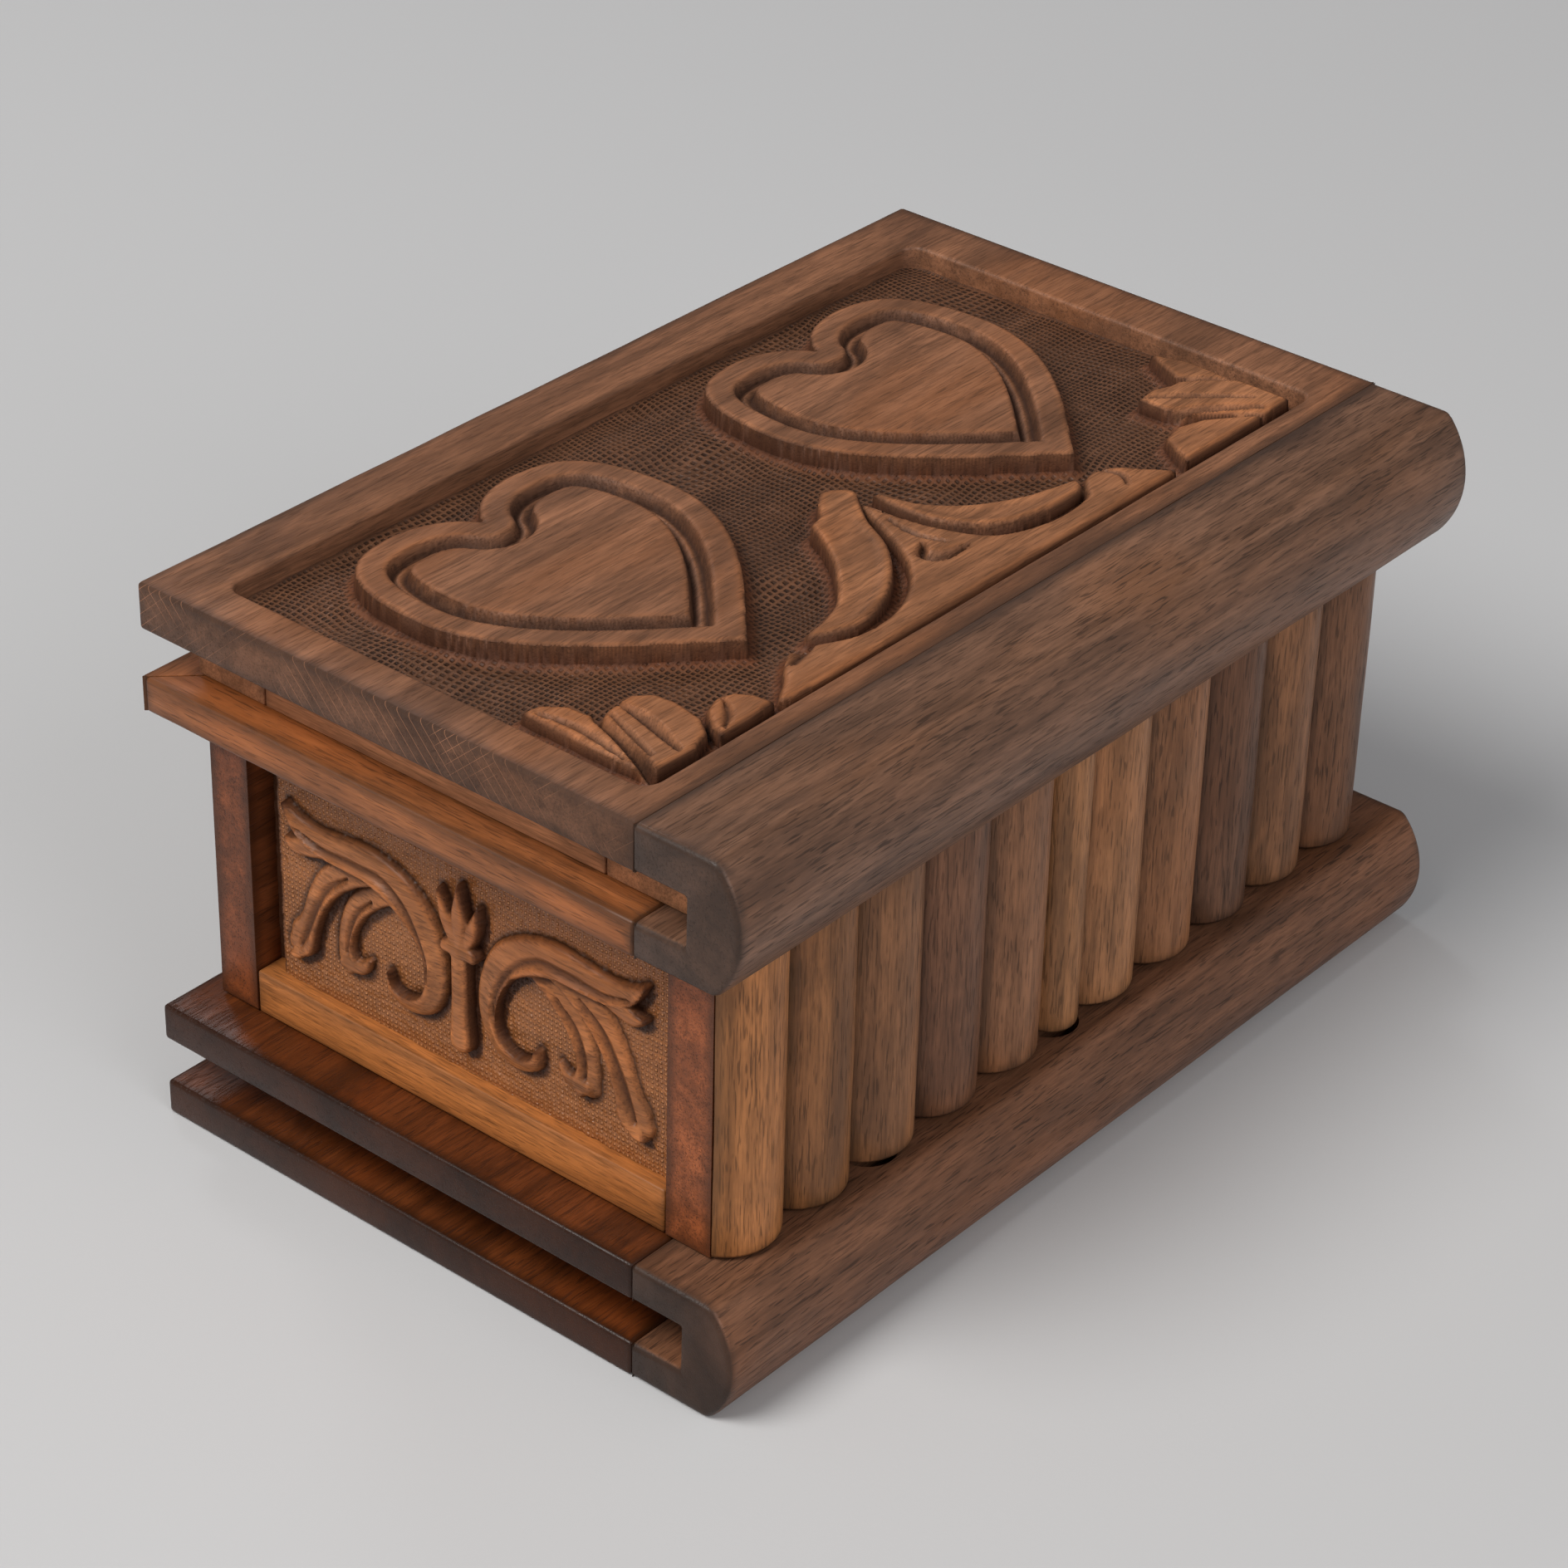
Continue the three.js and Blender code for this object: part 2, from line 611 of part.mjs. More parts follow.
function addHinges() {
  for (const [x, name] of [[hingePlaces()[0], 'left'], [hingePlaces()[1], 'right']]) {
    addPart(`case_hinge_leaf_${name}`, hingeLeaf(x, -1), 'brass');
    addPart(`lid_hinge_leaf_${name}`, hingeLeaf(x, 1), 'brass');
    addPart(`hinge_pin_${name}`, bar(hingePinRadius, hingeWidth, 'x', [x, axisY, axisZ]), 'brass');
    hingeScrewPlaces(x).forEach((place, i) => {
      addPart(`case_hinge_screw_${name}_${i + 1}`,
        screw([place, hingeScrewY, wallHead - screwSink], 'z', -1, hingeScrewLength), 'brass');
      addPart(`lid_hinge_screw_${name}_${i + 1}`,
        screw([place, hingeScrewY, lidBottom + screwSink], 'z', 1, hingeScrewLength - 2 * fitGap), 'brass');
    });
  }
}

// ---------------------------------------------------------------------------------------------
// Box lock: a case behind the keyhole, a bolt that slides along X, and a strike loop on the lid
// ---------------------------------------------------------------------------------------------

const loopX = -boltThrow / 2;
const strikeSpan = [lockBack + fitGap, lockFace - fitGap];

function lockScrewPlaces() {
  const reach = lockWidth / 2 - lockScrewInset;
  return [[-reach, lockFoot + lockScrewRise], [reach, lockFoot + lockScrewRise]];
}

function strikeScrewPlaces() {
  const reach = lockWidth / 2 - strikeScrewInset;
  return [-reach, reach];
}

function addLock() {
  const body = block([-lockWidth / 2, lockWidth / 2], [lockBack, lockFace], [lockFoot, lockHead]);
  const loopRoom = block(
    [loopX - loopThick / 2 - throwGap, loopX + loopThick / 2 + throwGap],
    [boltY - loopWide / 2 - throwGap, boltY + loopWide / 2 + throwGap],
    [lockHead - loopDrop - throwGap, lockHead + 1]);
  const boltWay = block(
    [-boltThrow - fitGap, boltLength + 2 * fitGap],
    [boltY - boltWide / 2 - fitGap, boltY + boltWide / 2 + fitGap],
    [boltZ - boltTall / 2 - fitGap, boltZ + boltTall / 2 + fitGap]);
  const keyWay = keyhole([lockBack - 1, boltY], fitGap);
  const seats = lockScrewPlaces().map(([x, z]) => screwSeat([x, lockFace, z], 'y', -1, screwHeadHeight));
  const shafts = lockScrewPlaces().map(([x, z]) => bar(
    screwShaftRadius + fitGap, 2 * lockDepth + 2, 'y', [x, lockFace, z]));
  addPart('lock_case', cut(body, loopRoom, boltWay, keyWay, ...seats, ...shafts), 'brass');

  addPart('lock_bolt', block([fitGap, fitGap + boltLength],
    [boltY - boltWide / 2, boltY + boltWide / 2],
    [boltZ - boltTall / 2, boltZ + boltTall / 2]), 'brass');

  lockScrewPlaces().forEach(([x, z], i) => {
    addPart(`lock_screw_${i + 1}`, screw([x, lockFace - screwSink, z], 'y', -1, lockScrewLength), 'brass');
  });

  const plate = block([-lockWidth / 2, lockWidth / 2], strikeSpan, [lidBottom, lidBottom + strikeThick]);
  const loop = block([loopX - loopThick / 2, loopX + loopThick / 2],
    [boltY - loopWide / 2, boltY + loopWide / 2], [lockHead - loopDrop, lidBottom + strikeThick / 2]);
  const eye = block([loopX - loopThick, loopX + loopThick],
    [boltY - boltWide / 2 - fitGap, boltY + boltWide / 2 + fitGap],
    [boltZ - boltTall / 2 - fitGap, boltZ + boltTall / 2 + fitGap]);
  const plateSeats = strikeScrewPlaces().map((x) => screwSeat([x, boltY, lidBottom], 'z', 1, strikeThick));
  addPart('strike_plate', cut(join(plate, loop), eye, ...plateSeats), 'brass');
  strikeScrewPlaces().forEach((x, i) => {
    addPart(`strike_screw_${i + 1}`,
      screw([x, boltY, lidBottom + screwSink], 'z', 1, hingeScrewLength - 2 * fitGap), 'brass');
  });
}

// ---------------------------------------------------------------------------------------------
// Key: it lies flat in the spine's channel, bow to the right
// ---------------------------------------------------------------------------------------------

function addKey() {
  const foot = baseSlotBottom + fitGap;
  const level = [foot, foot + keyThick];
  const through = [foot - 1, foot + keyThick + 1];
  const middleZ = foot + keyThick / 2;
  const centreY = channelY + fitGap + keyBow / 2;
  const bowX = keyStart + keyLength - keyBow / 2;
  const bow = bar(keyBow / 2, keyThick, 'z', [bowX, centreY, middleZ]);
  const eye = bar(keyBow / 2 - keyRing, keyThick + 2, 'z', [bowX, centreY, middleZ]);
  const shank = block([keyStart, bowX - keyBow / 2 + keyRing / 2],
    [centreY - keyThick / 2, centreY + keyThick / 2], level);
  const bitStart = keyStart + keyBitMargin;
  const bit = block([bitStart, bitStart + keyBitWidth],
    [centreY - keyThick / 2, centreY + keyBow / 2 - fitGap], level);
  const wardStart = bitStart + (keyBitWidth - keyWard) / 2;
  const ward = block([wardStart, wardStart + keyWard], [centreY + keyThick, centreY + keyBow], through);
  addPart('key', cut(join(cut(bow, eye), shank, bit), ward), 'brass');
}

addBase();
addSpines();
addWalls();
addColumns();
addLidBoard();
addLidCores();
addLidFrame();
addHinges();
addLock();
addKey();

export default assembly;
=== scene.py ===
"""A wooden puzzle box: half-round columns between two book-shaped boards, with a carved lid.

Laid out as a Blender add-on, and run as a script: main() registers the classes and calls their
operators in order. Lengths are in metres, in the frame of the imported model: +X to the right along the
box, -Y to the front with the columns, +Z up. Carved reliefs are worked out in millimetres.
"""

import json
import math

import bmesh
import bpy
import numpy as np
from mathutils import Matrix, Vector, noise


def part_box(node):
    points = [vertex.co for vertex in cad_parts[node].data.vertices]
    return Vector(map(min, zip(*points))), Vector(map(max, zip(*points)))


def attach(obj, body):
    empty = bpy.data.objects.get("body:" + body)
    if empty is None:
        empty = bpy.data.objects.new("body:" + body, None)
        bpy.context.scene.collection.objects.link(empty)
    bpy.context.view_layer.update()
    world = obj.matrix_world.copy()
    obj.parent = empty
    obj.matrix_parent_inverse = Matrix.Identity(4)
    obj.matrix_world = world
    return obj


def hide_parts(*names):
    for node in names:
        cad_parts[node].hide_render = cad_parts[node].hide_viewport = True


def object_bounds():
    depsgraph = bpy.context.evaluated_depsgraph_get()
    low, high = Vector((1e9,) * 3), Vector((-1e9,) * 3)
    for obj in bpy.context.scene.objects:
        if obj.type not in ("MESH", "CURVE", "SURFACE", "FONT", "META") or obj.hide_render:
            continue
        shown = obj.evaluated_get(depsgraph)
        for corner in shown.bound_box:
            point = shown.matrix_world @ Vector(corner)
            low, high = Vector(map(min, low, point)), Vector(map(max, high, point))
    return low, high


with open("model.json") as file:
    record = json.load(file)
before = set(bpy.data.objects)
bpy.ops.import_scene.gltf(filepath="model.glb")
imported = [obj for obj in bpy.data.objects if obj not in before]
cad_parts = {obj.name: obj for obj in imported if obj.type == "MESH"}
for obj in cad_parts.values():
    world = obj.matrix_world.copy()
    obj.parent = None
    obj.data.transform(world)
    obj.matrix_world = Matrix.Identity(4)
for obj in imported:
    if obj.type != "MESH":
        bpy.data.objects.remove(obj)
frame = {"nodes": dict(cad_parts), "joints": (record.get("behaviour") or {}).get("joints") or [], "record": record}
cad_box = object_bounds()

bl_info = {
    "name": "Wooden Puzzle Box",
    "version": (1, 0, 0),
    "blender": (4, 5, 0),
    "location": "View3D > Sidebar > Puzzle Box",
    "description": "Builds the carved wooden puzzle box piece by piece",
    "category": "Object",
}

MM = 0.001

# The gap between a moving piece and its neighbours
FIT_GAP = 0.3 * MM

# Roundings of the plainer pieces
CORE_EDGE = 0.3 * MM
WALL_EDGE = 0.35 * MM
RAIL_EDGE = 0.4 * MM
BRASS_EDGE = 0.12 * MM

# Edges that bend by more than this, in degrees, are shaded as sharp: of a plain and of a carved piece
PLAIN_SHARP = 38
RELIEF_SHARP = 50

# Corners nearer to a plane than this lie on it
TINY = 0.001 * MM

# The column that drops, counted from the left
KEY_COLUMN = 6

# Places that several pieces share, read from the frame
LID_LOW, LID_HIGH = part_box("lid_top_board")
PANEL_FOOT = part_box("left_end_panel")[0].z
COLUMN_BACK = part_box("column_01")[1].y


def linear(red, green, blue):
    """A colour given as 0 to 255 screen values, in the linear values that shaders use."""
    def channel(value):
        value /= 255
        return value / 12.92 if value <= 0.04045 else ((value + 0.055) / 1.055) ** 2.4
    return channel(red), channel(green), channel(blue)


# ---------------------------------------------------------------------------------------------
# Sizes and colours that a user would change
# ---------------------------------------------------------------------------------------------

def length(name, description, value):
    return bpy.props.FloatProperty(name=name, description=description, default=value, min=0.0,
                                   unit="LENGTH", precision=5)


def colour(name, description, value):
    return bpy.props.FloatVectorProperty(name=name, description=description, default=value,
                                         subtype="COLOR", min=0.0, max=1.0)


class PuzzleBoxSizes(bpy.types.PropertyGroup):
    """Sizes of the carving and of the softened edges."""

    board_edge: length("Board edge", "Rounding of the boards' and frames' edges", 0.7 * MM)
    spine_edge: length("Spine edge", "Rounding of the spines' long corners", 1.1 * MM)
    column_edge: length("Column edge", "Rounding of the columns' feet and heads", 0.9 * MM)
    joint_edge: length("Joint edge", "Rounding of the corners at the spines' joints", 0.2 * MM)
    spine_bulge: length("Spine bulge", "How far the spines' rounded fronts stand out", 4.6 * MM)
    spine_web: length("Spine web", "Wood between a spine's front and its channel", 10.1 * MM)
    field_left: length("Left border", "From the lid's left end to the carved field", 8.0 * MM)
    field_right: length("Right border", "From the lid's right end to the carved field", 10.7 * MM)
    field_rear: length("Rear border", "From the lid's rear edge to the carved field", 10.6 * MM)
    field_front: length("Front border", "From the spine's joint to the carved field", 4.8 * MM)
    field_corner: length("Field corner", "Radius of the carved field's corners", 3.0 * MM)
    field_depth: length("Field depth", "Depth of the lid's punched ground", 4.0 * MM)
    lid_cut: length("Lid cut", "Spacing of the lid carving's mesh", 0.4 * MM)
    panel_cut: length("Panel cut", "Spacing of the end carving's mesh", 0.3 * MM)
    heart_rim: length("Heart rim", "Width of the hearts' flat rim", 4.6 * MM)
    heart_channel: length("Heart channel", "Width of the channel inside the rim", 3.7 * MM)
    panel_ground: length("Panel ground", "Depth of the end panels' ground", 2.5 * MM)
    panel_rail: length("Panel rail", "Height of the plain strip under the end carving", 7.7 * MM)


class PuzzleBoxColours(bpy.types.PropertyGroup):
    """Stain colours of the pieces."""

    lid: colour("Lid", "Carved lid board", linear(139, 95, 69))
    spine: colour("Spines", "Rounded spines", linear(122, 88, 68))
    frame: colour("Lid frame", "Frame under the lid", linear(156, 95, 55))
    core: colour("Cores", "Strips in the slots", linear(190, 131, 92))
    base: colour("Base", "Base boards", linear(100, 51, 23))
    wall: colour("Walls", "Front and rear walls", linear(146, 80, 44))
    carving: colour("End carving", "Scrolls on the end panels", linear(162, 101, 58))
    rail: colour("Rail", "Plain strips under the end carving", linear(182, 112, 58))
    column: colour("Columns", "Half-round columns", linear(142, 98, 68))
    brass: colour("Brass", "Hinges, lock, key and screws", linear(196, 160, 92))
    floor: colour("Floor", "Pale floor", linear(206, 206, 207))


# ---------------------------------------------------------------------------------------------
# Materials
# ---------------------------------------------------------------------------------------------

class Nodes:
    """Short calls for building one material's node tree."""

    def __init__(self, name):
        self.material = bpy.data.materials.new(name)
        self.material.use_nodes = True
        self.tree = self.material.node_tree
        self.shader = self.tree.nodes["Principled BSDF"]

    def put(self, socket, value):
        if isinstance(value, bpy.types.NodeSocket):
            self.tree.links.new(value, socket)
        elif value is not None:
            socket.default_value = value

    def node(self, kind, inputs=None, **settings):
        made = self.tree.nodes.new(kind)
        for key, value in settings.items():
            setattr(made, key, value)
        for key, value in (inputs or {}).items():
            self.put(made.inputs[key], value)
        return made

    def math(self, operation, a, b=None):
        made = self.node("ShaderNodeMath", operation=operation)
        for socket, value in zip(made.inputs, (a, b)):
            self.put(socket, value)
        return made.outputs[0]

    def times(self, first, *others):
        for other in others:
            first = self.math("MULTIPLY", first, other)
        return first

    def vector(self, operation, a, b=None):
        made = self.node("ShaderNodeVectorMath", operation=operation)
        self.put(made.inputs[0], a)
        self.put(made.inputs[1], b)
        return made.outputs["Value" if operation == "LENGTH" else "Vector"]

    def scaled(self, vector, factors):
        return self.vector("MULTIPLY", vector, factors)

    def noise(self, vector, scale, detail=3.0, roughness=0.5, distortion=0.0):
        return self.node("ShaderNodeTexNoise", {
            "Vector": vector, "Scale": scale, "Detail": detail, "Roughness": roughness,
            "Distortion": distortion}).outputs["Fac"]

    def remap(self, value, low, high, to_low=0.0, to_high=1.0, smooth=False):
        made = self.node("ShaderNodeMapRange", {
            "Value": value, "From Min": low, "From Max": high, "To Min": to_low, "To Max": to_high},
            interpolation_type="SMOOTHSTEP" if smooth else "LINEAR")
        return made.outputs[0]

    def mix(self, factor, a, b, blend="MIX"):
        made = self.node("ShaderNodeMix", data_type="RGBA", blend_type=blend, clamp_factor=True)
        self.put(made.inputs[0], factor)
        for socket, value in ((made.inputs[6], a), (made.inputs[7], b)):
            if isinstance(value, tuple) and len(value) == 3:
                value = (*value, 1.0)
            self.put(socket, value)
        return made.outputs[2]

    def attribute(self, name):
        return self.node("ShaderNodeAttribute", attribute_name=name).outputs["Fac"]

    def bump(self, height, distance, strength=1.0, normal=None):
        made = self.node("ShaderNodeBump", {"Height": height, "Distance": distance, "Strength": strength})
        if normal is not None:
            self.put(made.inputs["Normal"], normal)
        return made.outputs["Normal"]


def toned(tint, factors):
    """A colour with each of its parts scaled, none past 1."""
    return tuple(min(1.0, part * factor) for part, factor in zip(tint, factors))


def shade(tint, factor):
    return toned(tint, (factor,) * 3)


# Turns that bring the grain's direction onto X
GRAIN_TURNS = {"X": (0, 0, 0), "Y": (0, 0, -math.pi / 2), "Z": (0, math.pi / 2, 0)}

# Measures that a carved mesh carries for its finish: punched ground, cove (also painted shade at the foot of
# raised shapes), hollow (painted shade and painted shadow), proud (lighter tops, partly wear and partly painted
# highlight) and pale leaves
RELIEF_LAYERS = ("ground", "cove", "hollow", "proud", "pale")


class Wood(Nodes):
    """Stained and waxed wood whose fibres, rings and pores run through the piece as a solid.

    box is the piece's own low and high corner: its ends and edges take up more stain. carved names
    the punched ground to add where the mesh's "ground" attribute is set: "hatch" for rows of square
    punches and "stipple" for dots."""

    def __init__(self, name, tint, box, grain="X", seed=0.0, ring=3.4 * MM, rings=0.35, flecks=0.5,
                 blotch=0.5, gloss=0.42, coat=0.06, dark_edges=0.75, dark_ends=0.8, scored=False,
                 carved=None):
        super().__init__(name)
        self.tint, self.box, self.grain, self.seed = tint, box, grain, seed
        self.hatched = carved == "hatch"
        self.place = self.node("ShaderNodeTexCoord").outputs["Object"]
        self.parts = self.node("ShaderNodeSeparateXYZ", {0: self.place}).outputs
        self.turned = self.node("ShaderNodeMapping", {
            "Vector": self.place, "Rotation": GRAIN_TURNS[grain],
            "Location": (seed * 0.731, 0.045 + 0.02 * math.sin(seed * 5.1), 0.05)}).outputs[0]
        self.fibre = self.along_grain(150.0, 2100.0, 3.0, 0.7)
        self.streak = self.along_grain(18.0, 680.0, 4.0, 0.7)
        self.patch = self.along_grain(48.0, 240.0, 4.0, 0.6)
        self.pore = self.remap(self.along_grain(230.0, 3100.0, 1.0), 0.36, 0.43, 1.0, 0.0)
        self.cloud = self.drifting((26.0, 60.0, 60.0), (seed, 0, 0), 5.0, 0.65, 0.4)

        base = self.stain(self.growth(ring, rings), flecks, blotch)
        base, ends = self.darkened(base, dark_edges, dark_ends)
        if scored:
            base = self.saw_marks(base, ends)
        height = self.math("SUBTRACT", self.times(self.fibre, 0.5), self.times(self.pore, 0.8))
        normal = self.bump(height, 0.06 * MM, 0.5)
        rough = self.math("ADD", self.remap(self.streak, 0.3, 0.7, gloss - 0.05, gloss + 0.07),
                          self.times(self.pore, 0.12))
        if carved:
            base, rough, normal = self.punched(base, rough, normal)

        self.put(self.shader.inputs["Base Color"], base)
        self.put(self.shader.inputs["Roughness"], rough)
        self.put(self.shader.inputs["Normal"], normal)
        self.shader.inputs["Specular IOR Level"].default_value = 0.27
        self.shader.inputs["Coat Weight"].default_value = coat
        self.shader.inputs["Coat Roughness"].default_value = 0.25

    def along_grain(self, along, across, detail, roughness=0.5):
        """Noise that is drawn out along the grain."""
        return self.noise(self.scaled(self.turned, (along, across, across)), 1.0, detail, roughness)

    def drifting(self, factors, offset, *settings):
        """Noise that differs from piece to piece."""
        return self.noise(self.vector("ADD", self.scaled(self.turned, factors), offset), 1.0, *settings)

    def toward(self, base, share, *depth):
        """Mixes base with the tint scaled by depth, one factor or one for each of its parts."""
        factors = depth * 3 if len(depth) == 1 else depth
        return self.mix(share, base, toned(self.tint, factors))

    def growth(self, ring, rings):
        """Bands, streaks, fibres and growth rings around a pith line beside the board."""
        bend = self.along_grain(9.0, 30.0, 2.0)
        ripple = self.along_grain(60.0, 240.0, 2.0)
        radius = self.vector("LENGTH", self.scaled(self.turned, (0.04, 1.0, 1.0)))
        spread = self.math("ADD", self.times(bend, 5.2), self.times(ripple, 0.45))
        saw = self.math("FRACT", self.math("ADD", self.math("DIVIDE", radius, ring), spread))
        late = self.times(self.math("POWER", saw, 2.2), self.remap(saw, 0.86, 1.0, 1.0, 0.0))
        band = self.along_grain(6.0, 120.0, 2.0)
        base = self.mix(self.remap(band, 0.32, 0.68), shade(self.tint, 0.85), shade(self.tint, 1.38))
        base = self.toward(base, self.remap(self.streak, 0.45, 0.66, 0.0, 0.6), 0.36)
        base = self.toward(base, self.times(late, rings), 0.4)
        base = self.toward(base, self.remap(self.patch, 0.5, 0.68, 0.0, 0.5, True), 0.42)
        base = self.toward(base, self.remap(self.patch, 0.5, 0.34, 0.0, 0.4, True), 1.5)
        return self.toward(base, self.remap(self.fibre, 0.45, 0.7, 0.0, 0.6), 0.34)

    def stain(self, base, flecks, blotch):
        """The uneven take-up of the stain, warm in some places and grey in others, and the pores."""
        warm = self.drifting((20.0, 42.0, 42.0), (0, self.seed, 3), 3.0, 0.5)
        orange = self.remap(warm, 0.48, 0.7, 0.0, 0.45 * blotch + 0.05, True)
        base = self.toward(base, orange, 1.4, 1.1, 0.72)
        base = self.toward(base, self.remap(self.cloud, 0.5, 0.7, 0.0, blotch, True), 0.38, 0.4, 0.45)
        dark = self.times(self.pore, flecks, self.remap(self.patch, 0.3, 0.6, 0.4, 1.3))
        return self.toward(base, dark, 0.22)

    def darkened(self, base, dark_edges, dark_ends):
        """Worn dark edges and end grain: the middle one of a place's three distances to the box's
        faces is its distance to the nearest edge."""
        inward = [self.math("MINIMUM", self.math("SUBTRACT", part, low), self.math("SUBTRACT", high, part))
                  for part, low, high in zip(self.parts, *self.box)]
        x, y, z = inward
        middle = self.math("MAXIMUM", self.math("MINIMUM", x, y),
                           self.math("MINIMUM", self.math("MAXIMUM", x, y), z))
        worn = self.math("ADD", middle, self.times(self.cloud, -2.4 * MM))
        edge = self.remap(worn, -1.3 * MM, 1.2 * MM, 1.0, 0.0, True)
        ends = self.remap(inward["XYZ".index(self.grain)], 0.35 * MM, 0.8 * MM, 1.0, 0.0, True)
        end_tint = self.mix(self.remap(self.cloud, 0.35, 0.62), toned(self.tint, (0.34, 0.37, 0.42)),
                            toned(self.tint, (0.13, 0.14, 0.15)))
        base = self.toward(base, self.times(edge, dark_edges), 0.26, 0.3, 0.36)
        return self.mix(self.times(ends, dark_ends), base, end_tint), ends

    def saw_marks(self, base, ends):
        """Fine pale saw marks, crossing on the sawn ends."""
        for slant in (0.62, -0.5):
            leaning = self.math("ADD", self.parts[1], self.times(self.parts[2], slant * 1.8))
            stripe = self.math("ABSOLUTE", self.math("SINE", self.times(leaning, 1350.0)))
            patchy = self.remap(self.noise(self.place, 60.0 + 20 * slant, 1.0), 0.5, 0.62, 0.0, 0.55)
            line = self.times(self.remap(stripe, 0.0, 0.12, 1.0, 0.0), patchy, ends)
            base = self.toward(base, line, 2.4)
        return base

    def punches(self, ground):
        """Rows of punch marks on the ground, and finer scratches between them."""
        sway, pitch, rows = (11.0, 1.12, "XY") if self.hatched else (3.0, 0.86, "YZ")
        drift = self.node("ShaderNodeTexNoise", {"Vector": self.place, "Scale": 38.0, "Detail": 1.0})
        shifted = self.vector("ADD", self.place, self.scaled(drift.outputs["Color"], (sway * MM,) * 3))
        waves = [self.node("ShaderNodeTexWave", {
            "Vector": shifted, "Scale": 2 * math.pi / 20 / (pitch * MM), "Distortion": 0.5,
            "Detail": 1.0, "Detail Scale": 0.8}, bands_direction=row).outputs["Fac"] for row in rows]
        crossing = [self.remap(wave, 0.2, 0.75) for wave in waves]
        wobble = self.remap(self.noise(self.place, 150.0, 2.0), 0.3, 0.6, 0.5, 1.0)
        scratch = self.noise(self.scaled(shifted, (900.0,) * 3), 1.0, 2.0, 0.6)
        return self.times(*crossing, ground, wobble), scratch

    def punched(self, base, rough, normal):
        """The punched ground, painted shade in hollows and at the carving's foot, painted highlights on the
        stipple's dots, and the carving's lighter tops: partly wear, partly painted highlight.
        """
        ground, cove, hollow, proud, pale = (self.attribute(key) for key in RELIEF_LAYERS)
        dots, scratch = self.punches(ground)
        base = self.toward(base, self.times(ground, 0.5), 0.45 if self.hatched else 0.95)
        if self.hatched:
            # Painted shade at the foot of raised shapes, darker and warm orange.
            base = self.toward(base, self.times(cove, 0.6), 0.8, 0.42, 0.16)
            base = self.toward(base, self.times(dots, 0.9), 0.06)
        else:
            # Painted highlights: pale bluish specks on the tops of the stipple's dots, as glints on a glossy
            # ground.
            base = self.toward(base, self.times(dots, 0.85), 1.75, 2.0, 2.4)
            # Painted shade: a dark ring around the foot of the scrolls.
            base = self.toward(base, self.times(cove, 0.95), 0.1)
        scuff = self.times(ground, scratch, 0.6 if self.hatched else 0.3)
        base = self.toward(base, scuff, 0.15)
        base = self.mix(pale, base, (1.3, 1.24, 1.1), "MULTIPLY")
        # Lighter raised tops: partly wear, partly painted highlight.
        base = self.mix(proud, base, (1.35, 1.25, 1.1), "MULTIPLY")
        # Painted shade in hollows, grooves and on steep walls, and painted shadow behind raised parts.
        base = self.toward(base, self.times(hollow, 0.92), 0.12, 0.09, 0.07)
        raised = self.times(dots, -1.0 if self.hatched else 0.8)
        height = self.times(self.math("ADD", self.times(scratch, 0.25), raised), ground)
        normal = self.bump(height, 0.45 * MM, 1.0, normal)
        rough = self.math("ADD", rough, self.times(hollow, 0.3))
        if not self.hatched:
            rough = self.math("SUBTRACT", rough, self.times(ground, 0.24))
        return base, rough, normal


def wood(*setting, **settings):
    """A material of the kind that the class Wood describes."""
    return Wood(*setting, **settings).material


def brass(name, tint):
    """Slightly tarnished brass with fine drawn lines."""
    n = Nodes(name)
    place = n.node("ShaderNodeTexCoord").outputs["Object"]
    lines = n.noise(n.scaled(place, (300.0, 4000.0, 4000.0)), 1.0, 2.0)
    tarnish = n.noise(place, 420.0, 4.0, 0.65)
    base = n.mix(n.remap(tarnish, 0.45, 0.7), tint, toned(tint, (0.45, 0.38, 0.3)))
    n.put(n.shader.inputs["Base Color"], base)
    n.put(n.shader.inputs["Roughness"], n.remap(tarnish, 0.3, 0.7, 0.24, 0.5))
    n.put(n.shader.inputs["Normal"], n.bump(lines, 0.02 * MM, 0.4))
    n.shader.inputs["Metallic"].default_value = 1.0
    return n.material


def pale_cloth(name, tint):
    """The plain pale floor."""
    n = Nodes(name)
    place = n.node("ShaderNodeTexCoord").outputs["Object"]
    drift = n.noise(place, 2.2, 2.0)
    n.put(n.shader.inputs["Base Color"], n.mix(drift, shade(tint, 0.97), shade(tint, 1.03)))
    weave = n.noise(n.scaled(place, (1.0, 1.6, 1.0)), 1400.0, 2.0)
    n.put(n.shader.inputs["Normal"], n.bump(weave, 0.05 * MM, 0.3))
    n.put(n.shader.inputs["Roughness"], n.remap(drift, 0.0, 1.0, 0.6, 0.7))
    n.shader.inputs["Sheen Weight"].default_value = 0.1
    return n.material


# ---------------------------------------------------------------------------------------------
# Pieces
# ---------------------------------------------------------------------------------------------

def add_piece(name, bm, material, body, nodes=(), sharp=PLAIN_SHARP):
    """Makes an object from a bmesh, in its place, and hooks it into the frame."""
    for vert in bm.verts:
        vert.co = [min(max(value, low), high) for value, low, high in zip(vert.co, *cad_box)]
    mesh = bpy.data.meshes.new(name)
    bm.to_mesh(mesh)
    bm.free()
    mesh.materials.append(material)
    mesh.polygons.foreach_set("use_smooth", [True] * len(mesh.polygons))
    mesh.set_sharp_from_angle(angle=math.radians(sharp))
    piece = bpy.data.objects.new(name, mesh)
    bpy.context.scene.collection.objects.link(piece)
    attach(piece, body)
    if nodes:
        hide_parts(*nodes)
    return piece


